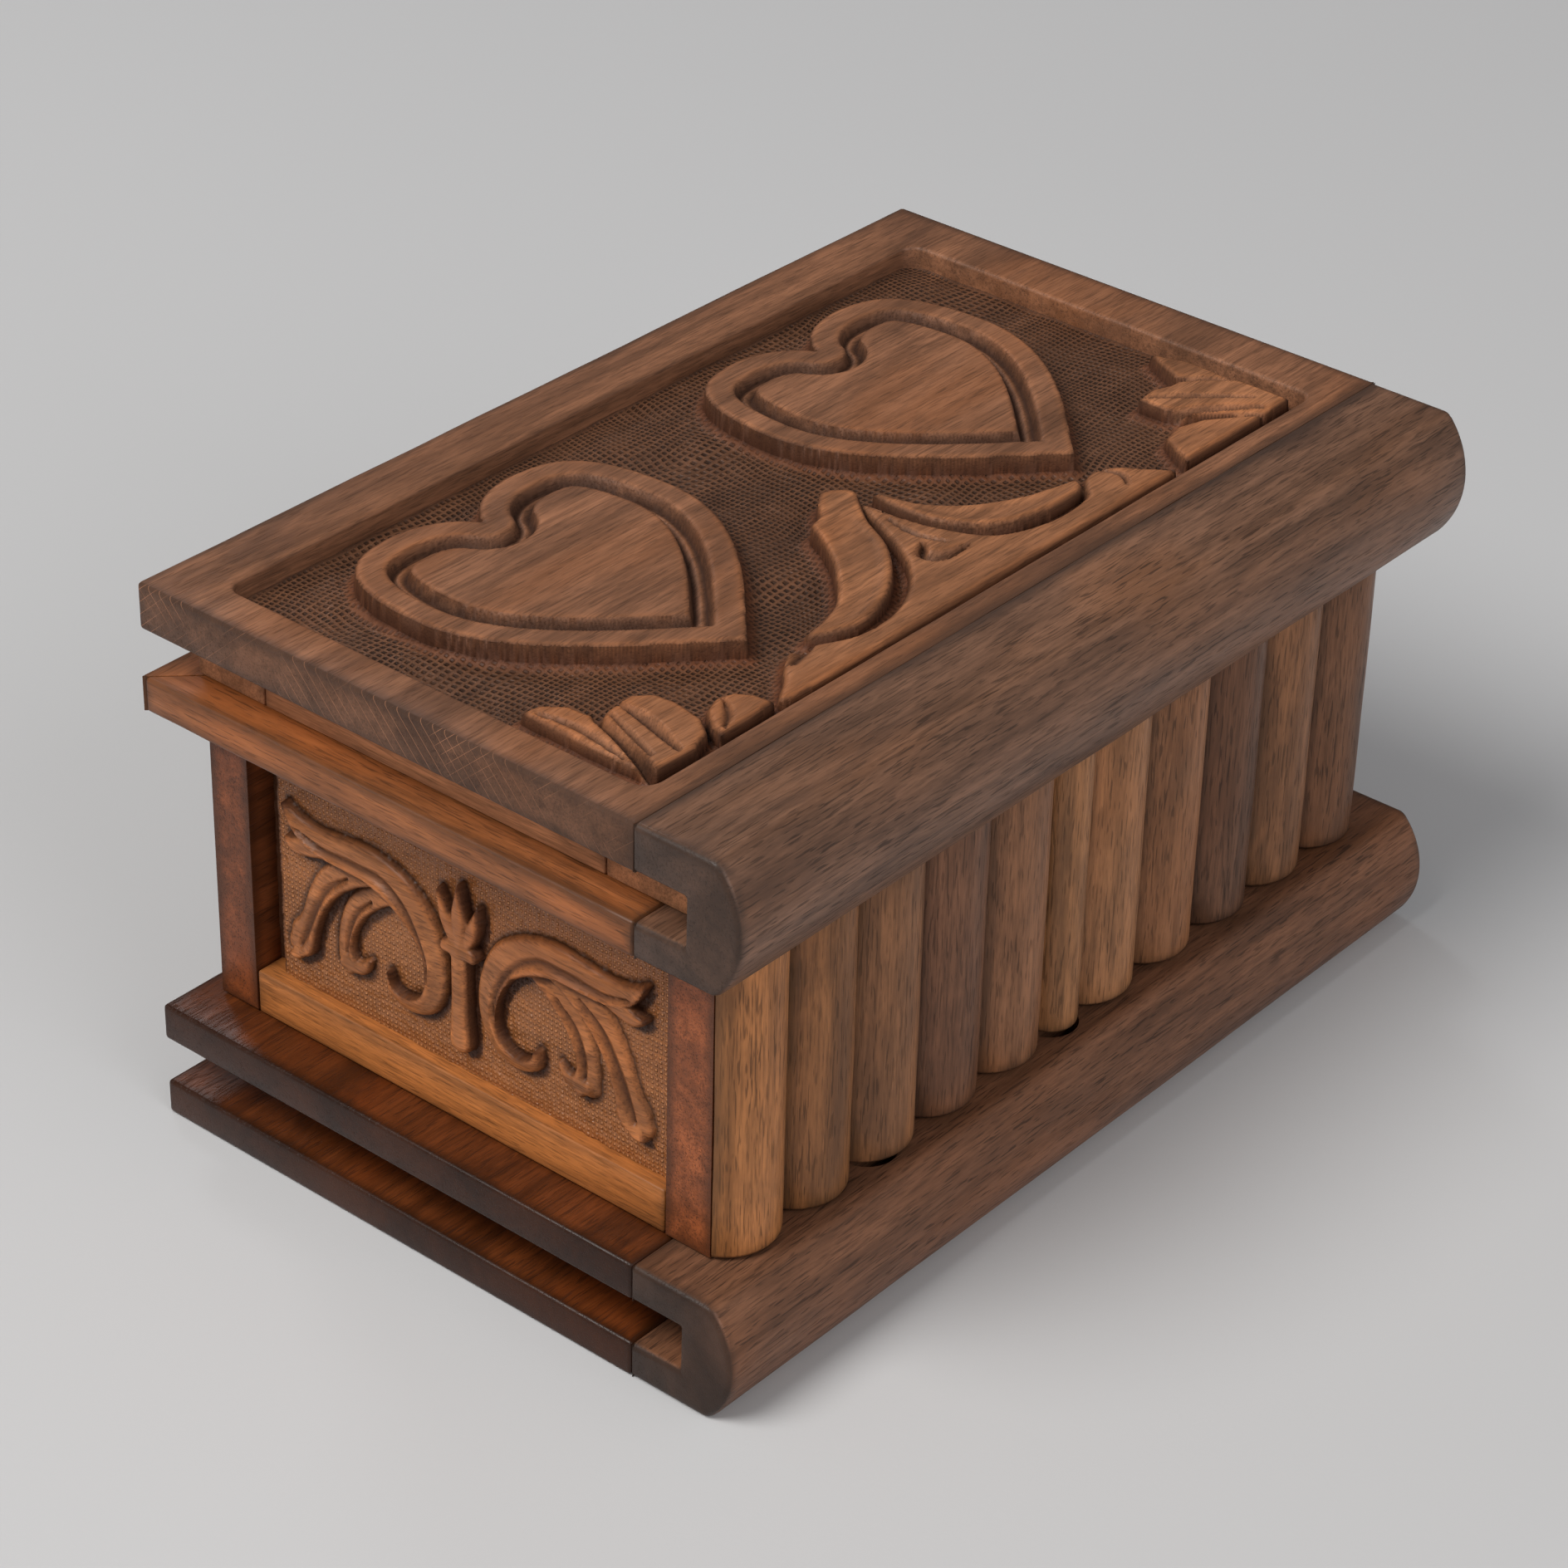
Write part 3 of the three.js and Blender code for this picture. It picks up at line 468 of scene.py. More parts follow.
def sharp_edges(bm, angle=25):
    """Edges where two faces meet at more than the given angle."""
    limit = math.radians(angle)
    return [e for e in bm.edges if len(e.link_faces) == 2 and e.calc_face_angle(0) > limit]


def soften(bm, edges, width, segments=3):
    bmesh.ops.bevel(bm, geom=edges, offset=width, offset_type="OFFSET", segments=segments,
                    profile=0.5, affect="EDGES", clamp_overlap=True, material=-1)


def weather(bm, amount, scale, seed):
    """Moves every corner a little, so that long edges aren't dead straight."""
    for vert in bm.verts:
        shift = noise.noise_vector(vert.co * scale + Vector((seed, 2.3 * seed, 0)))
        vert.co += shift * amount


def long_cuts(bm, axis, spacing, low, high):
    """Cuts the mesh across one axis at even steps, so that its long faces can be weathered."""
    count = max(1, round((high - low) / spacing))
    for i in range(1, count):
        at = low + (high - low) * i / count
        centre = Vector((0, 0, 0))
        centre[axis] = at
        normal = Vector((0, 0, 0))
        normal[axis] = 1
        bmesh.ops.bisect_plane(bm, geom=bm.verts[:] + bm.edges[:] + bm.faces[:], dist=1e-7,
                               plane_co=centre, plane_no=normal)


def only_verts(geometry):
    return [item for item in geometry if isinstance(item, bmesh.types.BMVert)]


def thicken(bm, shift):
    """Draws a flat outline out into a solid."""
    bmesh.ops.contextual_create(bm, geom=bm.edges[:])
    made = bmesh.ops.extrude_face_region(bm, geom=bm.faces[:])["geom"]
    bmesh.ops.translate(bm, vec=shift, verts=only_verts(made))
    bmesh.ops.recalc_face_normals(bm, faces=bm.faces)


def block(low, high):
    bm = bmesh.new()
    bmesh.ops.create_cube(bm, size=1.0)
    bmesh.ops.scale(bm, vec=high - low, verts=bm.verts)
    bmesh.ops.translate(bm, vec=(low + high) / 2, verts=bm.verts)
    return bm


def board_mesh(low, high, edge, axis=0, seed=0.0):
    """A board with softened, slightly uneven edges, cut along its length."""
    low, high = Vector(low), Vector(high)
    bm = block(low, high)
    soften(bm, bm.edges[:], min(edge, min(high - low) * 0.3))
    long_cuts(bm, axis, 6 * MM, low[axis] + 2 * edge, high[axis] - 2 * edge)
    weather(bm, 0.06 * MM, 90.0, seed)
    return bm


def half_round(left, right, front, back, foot, head):
    """An upright post with a flat back and a rounded front."""
    half = (right - left) / 2
    proud = back - front
    radius = (half * half + proud * proud) / (2 * proud)
    swing = math.asin(min(1.0, half / radius))
    centre = Vector(((left + right) / 2, front + radius, foot))
    bm = bmesh.new()
    start = bm.verts.new((left, back, foot))
    bmesh.ops.spin(bm, geom=[start], cent=centre, axis=(0, 0, 1), dvec=(0, 0, 0), angle=2 * swing,
                   steps=16, use_merge=False, use_duplicate=False)
    bm.verts.ensure_lookup_table()
    ends = [vert for vert in bm.verts if len(vert.link_edges) == 1]
    bm.edges.new(ends)
    thicken(bm, (0, 0, head - foot))
    return bm


# ---------------------------------------------------------------------------------------------
# Relief carving: a fine grid whose corners are pulled onto the outlines and set to the height
# ---------------------------------------------------------------------------------------------

def curve_through(points, closed, steps=7):
    """A smooth line through given points, each a tuple of any length."""
    points = np.array(points, dtype=float)
    count = len(points)
    spans = count if closed else count - 1
    out = []
    for i in range(spans):
        if closed:
            a, b, c, d = (points[(i + k) % count] for k in (-1, 0, 1, 2))
        else:
            a, b, c, d = (points[min(max(i + k, 0), count - 1)] for k in (-1, 0, 1, 2))
        for t in np.arange(steps) / steps:
            out.append(0.5 * (2 * b + (c - a) * t + (2 * a - 5 * b + 4 * c - d) * t * t
                              + (3 * b - a - 3 * c + d) * t ** 3))
    if not closed:
        out.append(points[-1])
    return np.array(out)


def nearest_on(points, line, closed):
    """For each point the distance to a line, the nearest place on it and how far along it that is."""
    best = np.full(len(points), 1e9)
    foot = np.zeros((len(points), 2))
    along = np.zeros(len(points))
    ends = np.roll(line, -1, axis=0) if closed else line[1:]
    for i, (a, b) in enumerate(zip(line[:len(ends)], ends)):
        step = b[:2] - a[:2]
        share = np.clip(((points - a[:2]) @ step) / max(step @ step, 1e-12), 0, 1)
        place = a[:2] + share[:, None] * step
        distance = np.hypot(*(points - place).T)
        closer = distance < best
        best[closer], foot[closer], along[closer] = distance[closer], place[closer], i + share[closer]
    return best, foot, along


def inside(points, outline):
    """Whether each point lies within a closed outline."""
    x, y = points.T
    within = np.zeros(len(points), dtype=bool)
    for (x0, y0), (x1, y1) in zip(outline, np.roll(outline, -1, axis=0)):
        if y0 == y1:
            continue
        crosses = ((y0 > y) != (y1 > y)) & (x < (x1 - x0) * (y - y0) / (y1 - y0) + x0)
        within ^= crosses
    return within


def ease(value):
    value = np.clip(value, 0, 1)
    return value * value * (3 - 2 * value)


class Leaf:
    """A raised shape with a closed outline. Depths are millimetres below the board's face.

    level is the depth of its top, round_over the fall at its edge, dish the fall to its middle and
    tilt the fall for each millimetre along u and v."""

    def __init__(self, points, level=0.6, round_over=0.8, dish=0.0, smooth=True, tilt=(0, 0)):
        self.outline = curve_through(points, True, 5) if smooth else np.array(points, dtype=float)
        self.steps = ()
        self.level, self.round_over, self.dish, self.tilt = level, round_over, dish, np.array(tilt)
        self.middle = self.outline.mean(axis=0)

    def measure(self, points):
        """Signed distance (negative inside) and the nearest place on the outline."""
        distance, foot, _ = nearest_on(points, self.outline, True)
        return np.where(inside(points, self.outline), -distance, distance), foot

    def depth(self, points, distance):
        within = np.maximum(-distance, 0)
        edge = self.round_over * np.exp(-within / (0.45 * self.round_over + 0.05))
        bowl = self.dish * ease((within - 0.4) / 2.4)
        return self.level + edge + bowl + (points - self.middle) @ self.tilt


class Heart(Leaf):
    """A heart with a flat rim, a channel and a flat pad."""

    def __init__(self, centre, wide, tall, rim, channel):
        super().__init__(heart_outline(centre, wide, tall), smooth=False)
        self.rim, self.channel = rim, channel
        self.steps = (rim, rim + channel)

    def depth(self, points, distance):
        """A rim, a channel with a steep outer wall and a low ridge, and a pad."""
        within = np.maximum(-distance, 0)
        across = (within - self.rim) / self.channel
        top = 0.05 + 0.3 * np.exp(-within / 0.25) + 0.16 * ease(1 + across * 6)
        wall = 0.21 + 1.9 * ease(across / 0.26)
        floor = 2.1 + 0.3 * across - 0.35 * np.exp(-((across - 0.5) / 0.1) ** 2)
        rise = 2.35 - 2.05 * ease((across - 0.8) / 0.2)
        trough = np.where(across < 0.26, wall, np.where(across < 0.8, floor, rise))
        pad = 0.15 + 0.15 * np.exp(-np.maximum(across - 1, 0) / 0.1)
        return np.where(across < 0, top, np.where(across < 1, trough, pad))


def heart_outline(centre, wide, tall, steps=16):
    """A heart's outline, tip to the front."""
    half = wide / 2
    tip, shoulder = -tall / 2, tall / 2
    notch, waist = shoulder - 0.12 * tall, 0.16 * tall
    right = [
        ((0, tip), (0.35 * half, tip + 0.24 * (waist - tip)),
         (half, tip + 0.58 * (waist - tip)), (half, waist)),
        ((half, waist), (half, shoulder - 0.12 * half), (0.78 * half, shoulder), (0.46 * half, shoulder)),
        ((0.46 * half, shoulder), (0.22 * half, shoulder),
         (0.06 * half, notch + 0.5 * (shoulder - notch)), (0, notch)),
    ]
    points = []
    for a, b, c, d in (tuple(map(np.array, span)) for span in right):
        for t in np.arange(steps) / steps:
            points.append((1 - t) ** 3 * a + 3 * (1 - t) ** 2 * t * b + 3 * (1 - t) * t * t * c + t ** 3 * d)
    points.append(np.array(right[-1][3]))
    side = np.array(points)
    mirrored = side[1:-1][::-1] * (-1, 1)
    return np.vstack((side, mirrored)) + np.array(centre)


class Stroke:
    """A raised band that follows a line of (u, v, half width), like a scroll's stem or a long leaf."""

    steps = ()

    def __init__(self, points, level=0.2, slope=0.5, round_over=0.7, flute=0.0):
        self.line = curve_through(points, False, 6)
        self.level, self.slope, self.round_over, self.flute = level, slope, round_over, flute

    def measure(self, points):
        distance, foot, along = nearest_on(points, self.line, False)
        index = np.clip(along.astype(int), 0, len(self.line) - 2)
        share = along - index
        half = self.line[index, 2] * (1 - share) + self.line[index + 1, 2] * share
        step = self.line[index + 1, :2] - self.line[index, :2]
        away = points - foot
        self.side = np.sign(step[:, 0] * away[:, 1] - step[:, 1] * away[:, 0])
        self.half = half
        edge = foot + away / np.maximum(distance, 1e-9)[:, None] * half[:, None]
        return distance - half, edge

    def depth(self, points, distance):
        across = self.side * np.clip((distance + self.half) / np.maximum(self.half, 1e-6), 0, 1)
        within = np.maximum(-distance, 0)
        edge = self.round_over * np.exp(-within / (0.4 * self.round_over + 0.05))
        lean = abs(self.slope) * (1 - np.sign(self.slope) * across) / 2
        return self.level + edge + lean + self.flute * (1 - across ** 2) ** 2


class Groove:
    """A V cut along a line of (u, v, half width), with a depth."""

    def __init__(self, points, deep=1.0):
        self.line = curve_through(points, False, 6)
        self.deep = deep

    def cut(self, points):
        distance, _, along = nearest_on(points, self.line, False)
        index = np.clip(along.astype(int), 0, len(self.line) - 2)
        half = self.line[index, 2]
        return self.deep * np.clip(1 - distance / half, 0, 1) ** 0.8


def snapped(points, spacing, shapes):
    """Pulls the points near an outline or a step onto it, and the next ones up beside it."""
    moved = points.copy()
    gap = np.full(len(points), 1e9)
    for shape in shapes:
        distance, foot = shape.measure(points)
        near = (np.abs(distance) < 1.5 * spacing) & (np.abs(distance) < gap)
        on_line = near & (np.abs(distance) < 0.5 * spacing)
        beside = near & (distance >= 0.5 * spacing)
        gap[near] = np.abs(distance[near])
        moved[near] = points[near]
        moved[on_line] = foot[on_line]
        away = (points[beside] - foot[beside]) / distance[beside][:, None]
        moved[beside] = foot[beside] + away * 0.6 * spacing
        for step in shape.steps:
            off = -distance - step
            near = (np.abs(off) < 0.5 * spacing) & (distance < 0)
            inward = (foot[near] - points[near]) / np.maximum(-distance[near], 1e-6)[:, None]
            moved[near] = points[near] + inward * off[near][:, None]
    return moved


def carve(points, spacing, ground_depth, shapes, grooves, cove_reach, cove_rise, roughness):
    """Gives points their depth under the face, and measures of the surface there for the finish.

    The ground rises by cove_rise within cove_reach of a raised shape. roughness is the height and
    the fineness of the ground's unevenness."""
    moved = snapped(points, spacing, shapes)
    depth = np.full(len(points), float(ground_depth))
    raised = np.zeros(len(points), dtype=bool)
    pale = np.zeros(len(points))
    outside = np.full(len(points), 1e9)
    for shape in shapes:
        distance, _ = shape.measure(moved)
        here = distance < 0.02
        own = shape.depth(moved, distance)
        higher = here & ((own < depth) | ~raised)
        depth[higher] = own[higher]
        pale[higher] = 0.0 if isinstance(shape, Heart) else 1.0
        raised |= here
        outside = np.minimum(outside, np.maximum(distance, 0))
    cove = np.where(raised, 0, ease(1 - outside / cove_reach))
    depth = np.where(raised, depth, ground_depth - cove_rise * cove ** 1.6)
    uneven = np.array([noise.noise(Vector((x * roughness[1], y * roughness[1], 0.7))) for x, y in moved])
    depth += np.where(raised, 0.12, 1.0) * roughness[0] * uneven
    hollow = np.zeros(len(points))
    for groove in grooves:
        cut = groove.cut(moved)
        depth = np.where(raised, depth + cut, depth)
        # Painted shade in the grooves, kept in the hollow layer.
        hollow = np.maximum(hollow, np.where(raised, cut / groove.deep, 0) ** 1.5)
    depth = np.minimum(depth, ground_depth + 0.5)
    return moved, depth, np.where(raised, 0.0, 1 - 0.6 * cove), cove, hollow, pale


def hollows(depth, spacing):
    """How far each point of a height field lies below its surroundings, and how steep it is there."""
    reach = max(1, round(1.3 / spacing))
    kernel = np.ones(2 * reach + 1) / (2 * reach + 1)
    padded = np.pad(depth, reach, mode="edge")
    smooth = np.apply_along_axis(lambda row: np.convolve(row, kernel, "valid"), 1, padded)
    smooth = np.apply_along_axis(lambda row: np.convolve(row, kernel, "valid"), 0, smooth)
    slope = ease((np.hypot(*np.gradient(depth, spacing)) - 0.7) / 2.0)
    edge = np.pad(slope, 1, mode="edge")
    slope = sum(edge[i:i + depth.shape[0], j:j + depth.shape[1]] for i in range(3) for j in range(3)) / 9
    return ((depth - smooth) / 0.75).ravel(), slope.ravel()


def relief_mesh(span_u, span_v, spacing, place, carving, thickness, painted_shadow_step=None):
    """A closed slab whose face is the carving. place turns (u, v, depth) into a point in metres.

    The last argument is the step (u, v) towards the light: places that lie low behind that step get a painted
    shadow in the hollow layer."""
    steps_u = round((span_u[1] - span_u[0]) / spacing)
    steps_v = round((span_v[1] - span_v[0]) / spacing)
    bm = bmesh.new()
    bmesh.ops.create_grid(bm, x_segments=steps_u, y_segments=steps_v, size=0.5)
    flat = np.array([vert.co[:2] for vert in bm.verts]) + 0.5
    low = np.array((span_u[0], span_v[0]))
    size = np.array((span_u[1] - span_u[0], span_v[1] - span_v[0]))
    points = low + flat * size
    rim = (np.minimum(flat, 1 - flat) < 1e-4).any(axis=1)
    moved, depth, ground, cove, hollow, pale = carving(points)
    moved[rim] = points[rim]
    sunk, steep = hollows(depth.reshape(steps_v + 1, -1), spacing)
    bare = 1 - np.clip(ground + cove, 0, 1)
    # Painted shade: places below their surroundings and steep walls are marked in the hollow layer, which the
    # finish darkens.
    hollow = np.maximum(hollow, np.clip(np.maximum(sunk * (0.3 + bare), 1.3 * steep), 0, 1))
    # Painted shadow: places that lie low just behind a higher part, seen from the light, are darkened.
    if painted_shadow_step:
        field = depth.reshape(steps_v + 1, -1)
        toward = [-round(step / spacing) for step in painted_shadow_step]
        behind = np.roll(field, (toward[1], toward[0]), axis=(0, 1))
        hollow = np.maximum(hollow, np.clip((field - behind - 0.35) / 1.2, 0, 1).ravel())
    # Lighter raised tops: partly wear, partly painted highlight.
    proud = np.clip(-sunk, 0, 1) * bare
    layers = [bm.verts.layers.float.new(key) for key in RELIEF_LAYERS]
    bm.verts.ensure_lookup_table()
    for vert, uv, deep, *values in zip(bm.verts, moved, depth, ground, cove, hollow, proud, pale):
        vert.co = place(uv[0], uv[1], deep)
        for layer, value in zip(layers, values):
            vert[layer] = value
    border = [e for e in bm.edges if e.is_boundary]
    made = bmesh.ops.extrude_edge_only(bm, edges=border)["geom"]
    centre = place(*(low + size / 2), 0)
    out = (place(*(low + size / 2), -1) - centre).normalized()
    for vert in only_verts(made):
        vert.co -= out * ((vert.co - centre).dot(out) + thickness * MM)
        for layer in layers:
            vert[layer] = 0.0
    bmesh.ops.edgeloop_fill(bm, edges=[g for g in made if isinstance(g, bmesh.types.BMEdge)
                                       and g.is_boundary])
    bmesh.ops.recalc_face_normals(bm, faces=bm.faces)
    return bm


# ---------------------------------------------------------------------------------------------
# Operators
# ---------------------------------------------------------------------------------------------

def sizes():
    return bpy.context.scene.puzzle_box_sizes


def colours():
    return bpy.context.scene.puzzle_box_colours


def travel(joint):
    """How far a sliding joint goes."""
    return max(next(j for j in frame["joints"] if j["name"] == joint)["range_m"])


class PUZZLEBOX_OT_stage(bpy.types.Operator):
    """Floor, lights, background and camera"""

    bl_idname = "puzzlebox.stage"
    bl_label = "Stage"

    def execute(self, context):
        bm = bmesh.new()
        bmesh.ops.create_grid(bm, x_segments=8, y_segments=8, size=4.0)
        mesh = bpy.data.meshes.new("floor")
        bm.to_mesh(mesh)
        bm.free()
        mesh.materials.append(pale_cloth("pale_floor", tuple(colours().floor)))
        floor = bpy.data.objects.new("floor", mesh)
        context.scene.collection.objects.link(floor)

        self.light("window", (-1.25, 0.35, 1.75), 1.2, 34.0, (1.0, 0.985, 0.96))
        self.light("room", (-0.3, -1.9, 1.2), 1.5, 13.0, (0.98, 0.98, 1.0))
        self.light("glint", (0.7, 1.5, 1.3), 0.4, 2.5, (0.92, 0.96, 1.0))

        self.room(context)
        self.camera(context)
        return {"FINISHED"}

    def room(self, context):
        """A pale room, darker behind the box so that its top doesn't mirror a bright wall."""
        world = bpy.data.worlds.new("pale_room")
        world.use_nodes = True
        tree = world.node_tree
        background = tree.nodes["Background"]
        background.inputs["Strength"].default_value = 0.36
        toward = tree.nodes.new("ShaderNodeVectorMath")
        toward.operation = "DOT_PRODUCT"
        toward.inputs[1].default_value = (0.66, 0.53, 0.53)
        tree.links.new(tree.nodes.new("ShaderNodeTexCoord").outputs["Generated"], toward.inputs[0])
        ramp = tree.nodes.new("ShaderNodeValToRGB")
        ramp.color_ramp.elements[0].position = 0.25
        ramp.color_ramp.elements[0].color = (1.0, 0.99, 0.98, 1.0)
        ramp.color_ramp.elements[1].position = 0.85
        ramp.color_ramp.elements[1].color = (0.22, 0.22, 0.23, 1.0)
        tree.links.new(toward.outputs["Value"], ramp.inputs["Fac"])
        tree.links.new(ramp.outputs["Color"], background.inputs["Color"])
        context.scene.world = world
        context.scene.view_settings.view_transform = "Standard"

    def camera(self, context):
        """A camera to the box's left front, looking down on it from about 70 cm."""
        heading, downward, roll = -50.564, 32.074, 1.522
        aim = Vector((-5.33, 3.69, 45.52)) * MM
        distance = 708.6 * MM
        data = bpy.data.cameras.new("camera")
        data.sensor_width = 36.0
        data.lens = 101.9
        data.clip_start = 0.01
        data.clip_end = 20.0
        camera = bpy.data.objects.new("camera", data)
        turn = (Matrix.Rotation(math.radians(heading), 4, "Z")
                @ Matrix.Rotation(math.radians(90 - downward), 4, "X")
                @ Matrix.Rotation(math.radians(roll), 4, "Z"))
        back = turn.to_3x3() @ Vector((0, 0, 1))
        camera.matrix_world = Matrix.Translation(aim + back * distance) @ turn
        context.scene.collection.objects.link(camera)
        context.scene.camera = camera

    def light(self, name, place, size, watts, tint):
        data = bpy.data.lights.new(name, "AREA")
        data.shape = "DISK"
        data.size = size
        data.energy = watts
        data.color = tint
        lamp = bpy.data.objects.new(name, data)
        lamp.location = place
        lamp.rotation_euler = (Vector((0, 0, 0.05)) - lamp.location).to_track_quat("-Z", "Y").to_euler()
        bpy.context.scene.collection.objects.link(lamp)


def lid_shapes(size):
    """The hearts and the foliage of the lid, in millimetres of the frame."""
    rim, channel = size.heart_rim / MM, size.heart_channel / MM
    hearts = [Heart((-41.7, 11.4), 57, 60, rim, channel), Heart((37.2, 11.4), 56, 60, rim, channel)]
    leaves = [
        # left corner
        Leaf([(-77.4, -7.1), (-74.5, -7.6), (-71.9, -11.2), (-71.6, -16.2), (-73.2, -22.5),
              (-75.4, -27.6), (-77.6, -31.2), (-77.8, -19)], 0.9, 0.5, smooth=False, tilt=(-0.06, 0)),
        Leaf([(-72.1, -17.4), (-69.4, -15.9), (-66.4, -15.3), (-63.2, -15.2), (-60.8, -17.4),
              (-60.4, -21.5), (-61.8, -27.3), (-64.4, -30.6), (-69, -32.3), (-77.2, -32.2),
              (-75, -27), (-73, -22)], 0.7, 0.5, smooth=False, tilt=(0.03, 0.04)),
        Leaf([(-62.4, -29.7), (-59.4, -26.2), (-56, -24.8), (-53, -25.6), (-51.6, -28.3),
              (-51.4, -32.0), (-57, -32.4), (-63.4, -32.3)], 0.8, 0.5, smooth=False, tilt=(0, 0.07)),
        # middle: the low strip with its stem, the sickle leaf and the long leaf
        Leaf([(-48.2, -32.7), (-45.0, -28.4), (-41.6, -25.6), (-38, -23.8), (-34.5, -25.4),
              (-28, -28.3), (-20, -28.2), (-12.5, -25.2), (-6.2, -19.8), (-1.8, -12.5), (1.0, -6.5),
              (3.4, -2.6), (4.4, -8), (5.3, -16), (9.5, -24.4), (19, -28.0), (28, -27.6),
              (30.8, -25.6), (33, -23.9), (36.3, -23.2), (39.8, -24.9), (42.1, -28), (44.4, -31.2),
              (43.4, -32.7), (20, -32.8), (-15, -32.9)], 1.0, 0.7),
        Leaf([(-2.3, 0.9), (0.7, 2.2), (3.9, -0.9), (1.2, -4.7), (-1.7, -8.6), (-5.2, -15.2),
              (-11.3, -21.2), (-18.6, -25.2), (-26.1, -26.2), (-33.4, -22.8), (-28, -21.7),
              (-22.4, -19.6), (-15.6, -13.4), (-11, -7), (-8.9, -3.3), (-5.6, -2.2)], 0.2, 0.7, 0.3,
             tilt=(-0.03, -0.03)),
        Leaf([(6.0, -4.2), (7.1, -3.3), (8.8, -9.8), (13.5, -15.7), (20.6, -20.0), (27, -22.0),
              (31.3, -23.3), (29.0, -25.8), (19.4, -25.6), (11.3, -22.6), (7.0, -17), (5.6, -10.1)],
             0.5, 0.8, 0.45),
        # right corner
        Leaf([(75.0, -5.8), (72.8, -9.5), (70.6, -14.0), (73.8, -17.4), (76.9, -20.5), (77.2, -12)],
             0.8, 0.5, smooth=False, tilt=(0.06, 0)),
        Leaf([(60.2, -14.3), (64.2, -13.8), (67.4, -15.0), (71, -15.4), (74.6, -16.6), (76.9, -20.4),
              (76.9, -32.0), (70, -32.3), (66.5, -28.6), (61.8, -23.8), (60.2, -19.5)], 0.6, 0.5,
             smooth=False),
        Leaf([(48.4, -32.4), (50.2, -28.8), (52.9, -25.0), (57.5, -24.0), (62.2, -25.6), (66.8, -29.8),
              (69, -32.4), (58, -32.6)], 0.8, 0.5, smooth=False, tilt=(0, 0.07)),
    ]
    grooves = [
        Groove([(-71.8, -16.4, 0.9), (-73.6, -22.5, 1.1), (-77.6, -31.5, 0.8)], 1.4),
        Groove([(-66.2, -15.6, 0.6), (-67.4, -22, 1.3), (-70.8, -30.8, 0.5)], 1.3),
        Groove([(-76.2, -9, 0.4), (-75.3, -16, 0.8), (-76.8, -26, 0.4)], 0.8),
        Groove([(-69.3, -16.6, 0.4), (-72, -23, 0.7), (-74.5, -29, 0.4)], 0.6),
        Groove([(-55.4, -26, 0.3), (-58, -29, 0.9), (-61.5, -31.4, 0.3)], 0.9),
        Groove([(3.2, -3.5, 0.4), (4.4, -11, 0.8), (6.6, -17.8, 0.9), (10.9, -23.4, 1.0),
                (19.4, -27.0, 1.0), (28, -26.8, 0.5)], 1.6),
        Groove([(2.0, -9.5, 0.3), (1.2, -15, 0.7), (2.6, -20.5, 0.3)], 0.9),
        Groove([(-0.4, -18.2, 0.4), (-2.6, -20.4, 1.6), (-1.2, -22.6, 1.6), (3.8, -23.6, 0.3)], 1.9),
        Groove([(-33.5, -24.6, 0.6), (-36.5, -25.0, 1.6), (-40.5, -25.9, 1.6)], 1.6),
        Groove([(61.2, -14.8, 0.3), (66.5, -19.5, 0.9), (73.5, -27.5, 0.3)], 0.9),
        Groove([(60.4, -21.2, 0.8), (65, -24.4, 1.2), (71.5, -30.5, 0.4)], 1.7),
        Groove([(70.5, -15.2, 0.8), (74, -18.2, 1.0), (77, -22, 0.6)], 1.4),
        Groove([(36.6, -23.4, 0.3), (38.2, -27, 0.7), (36, -30, 0.3)], 0.8),
    ]
    return hearts + leaves, grooves


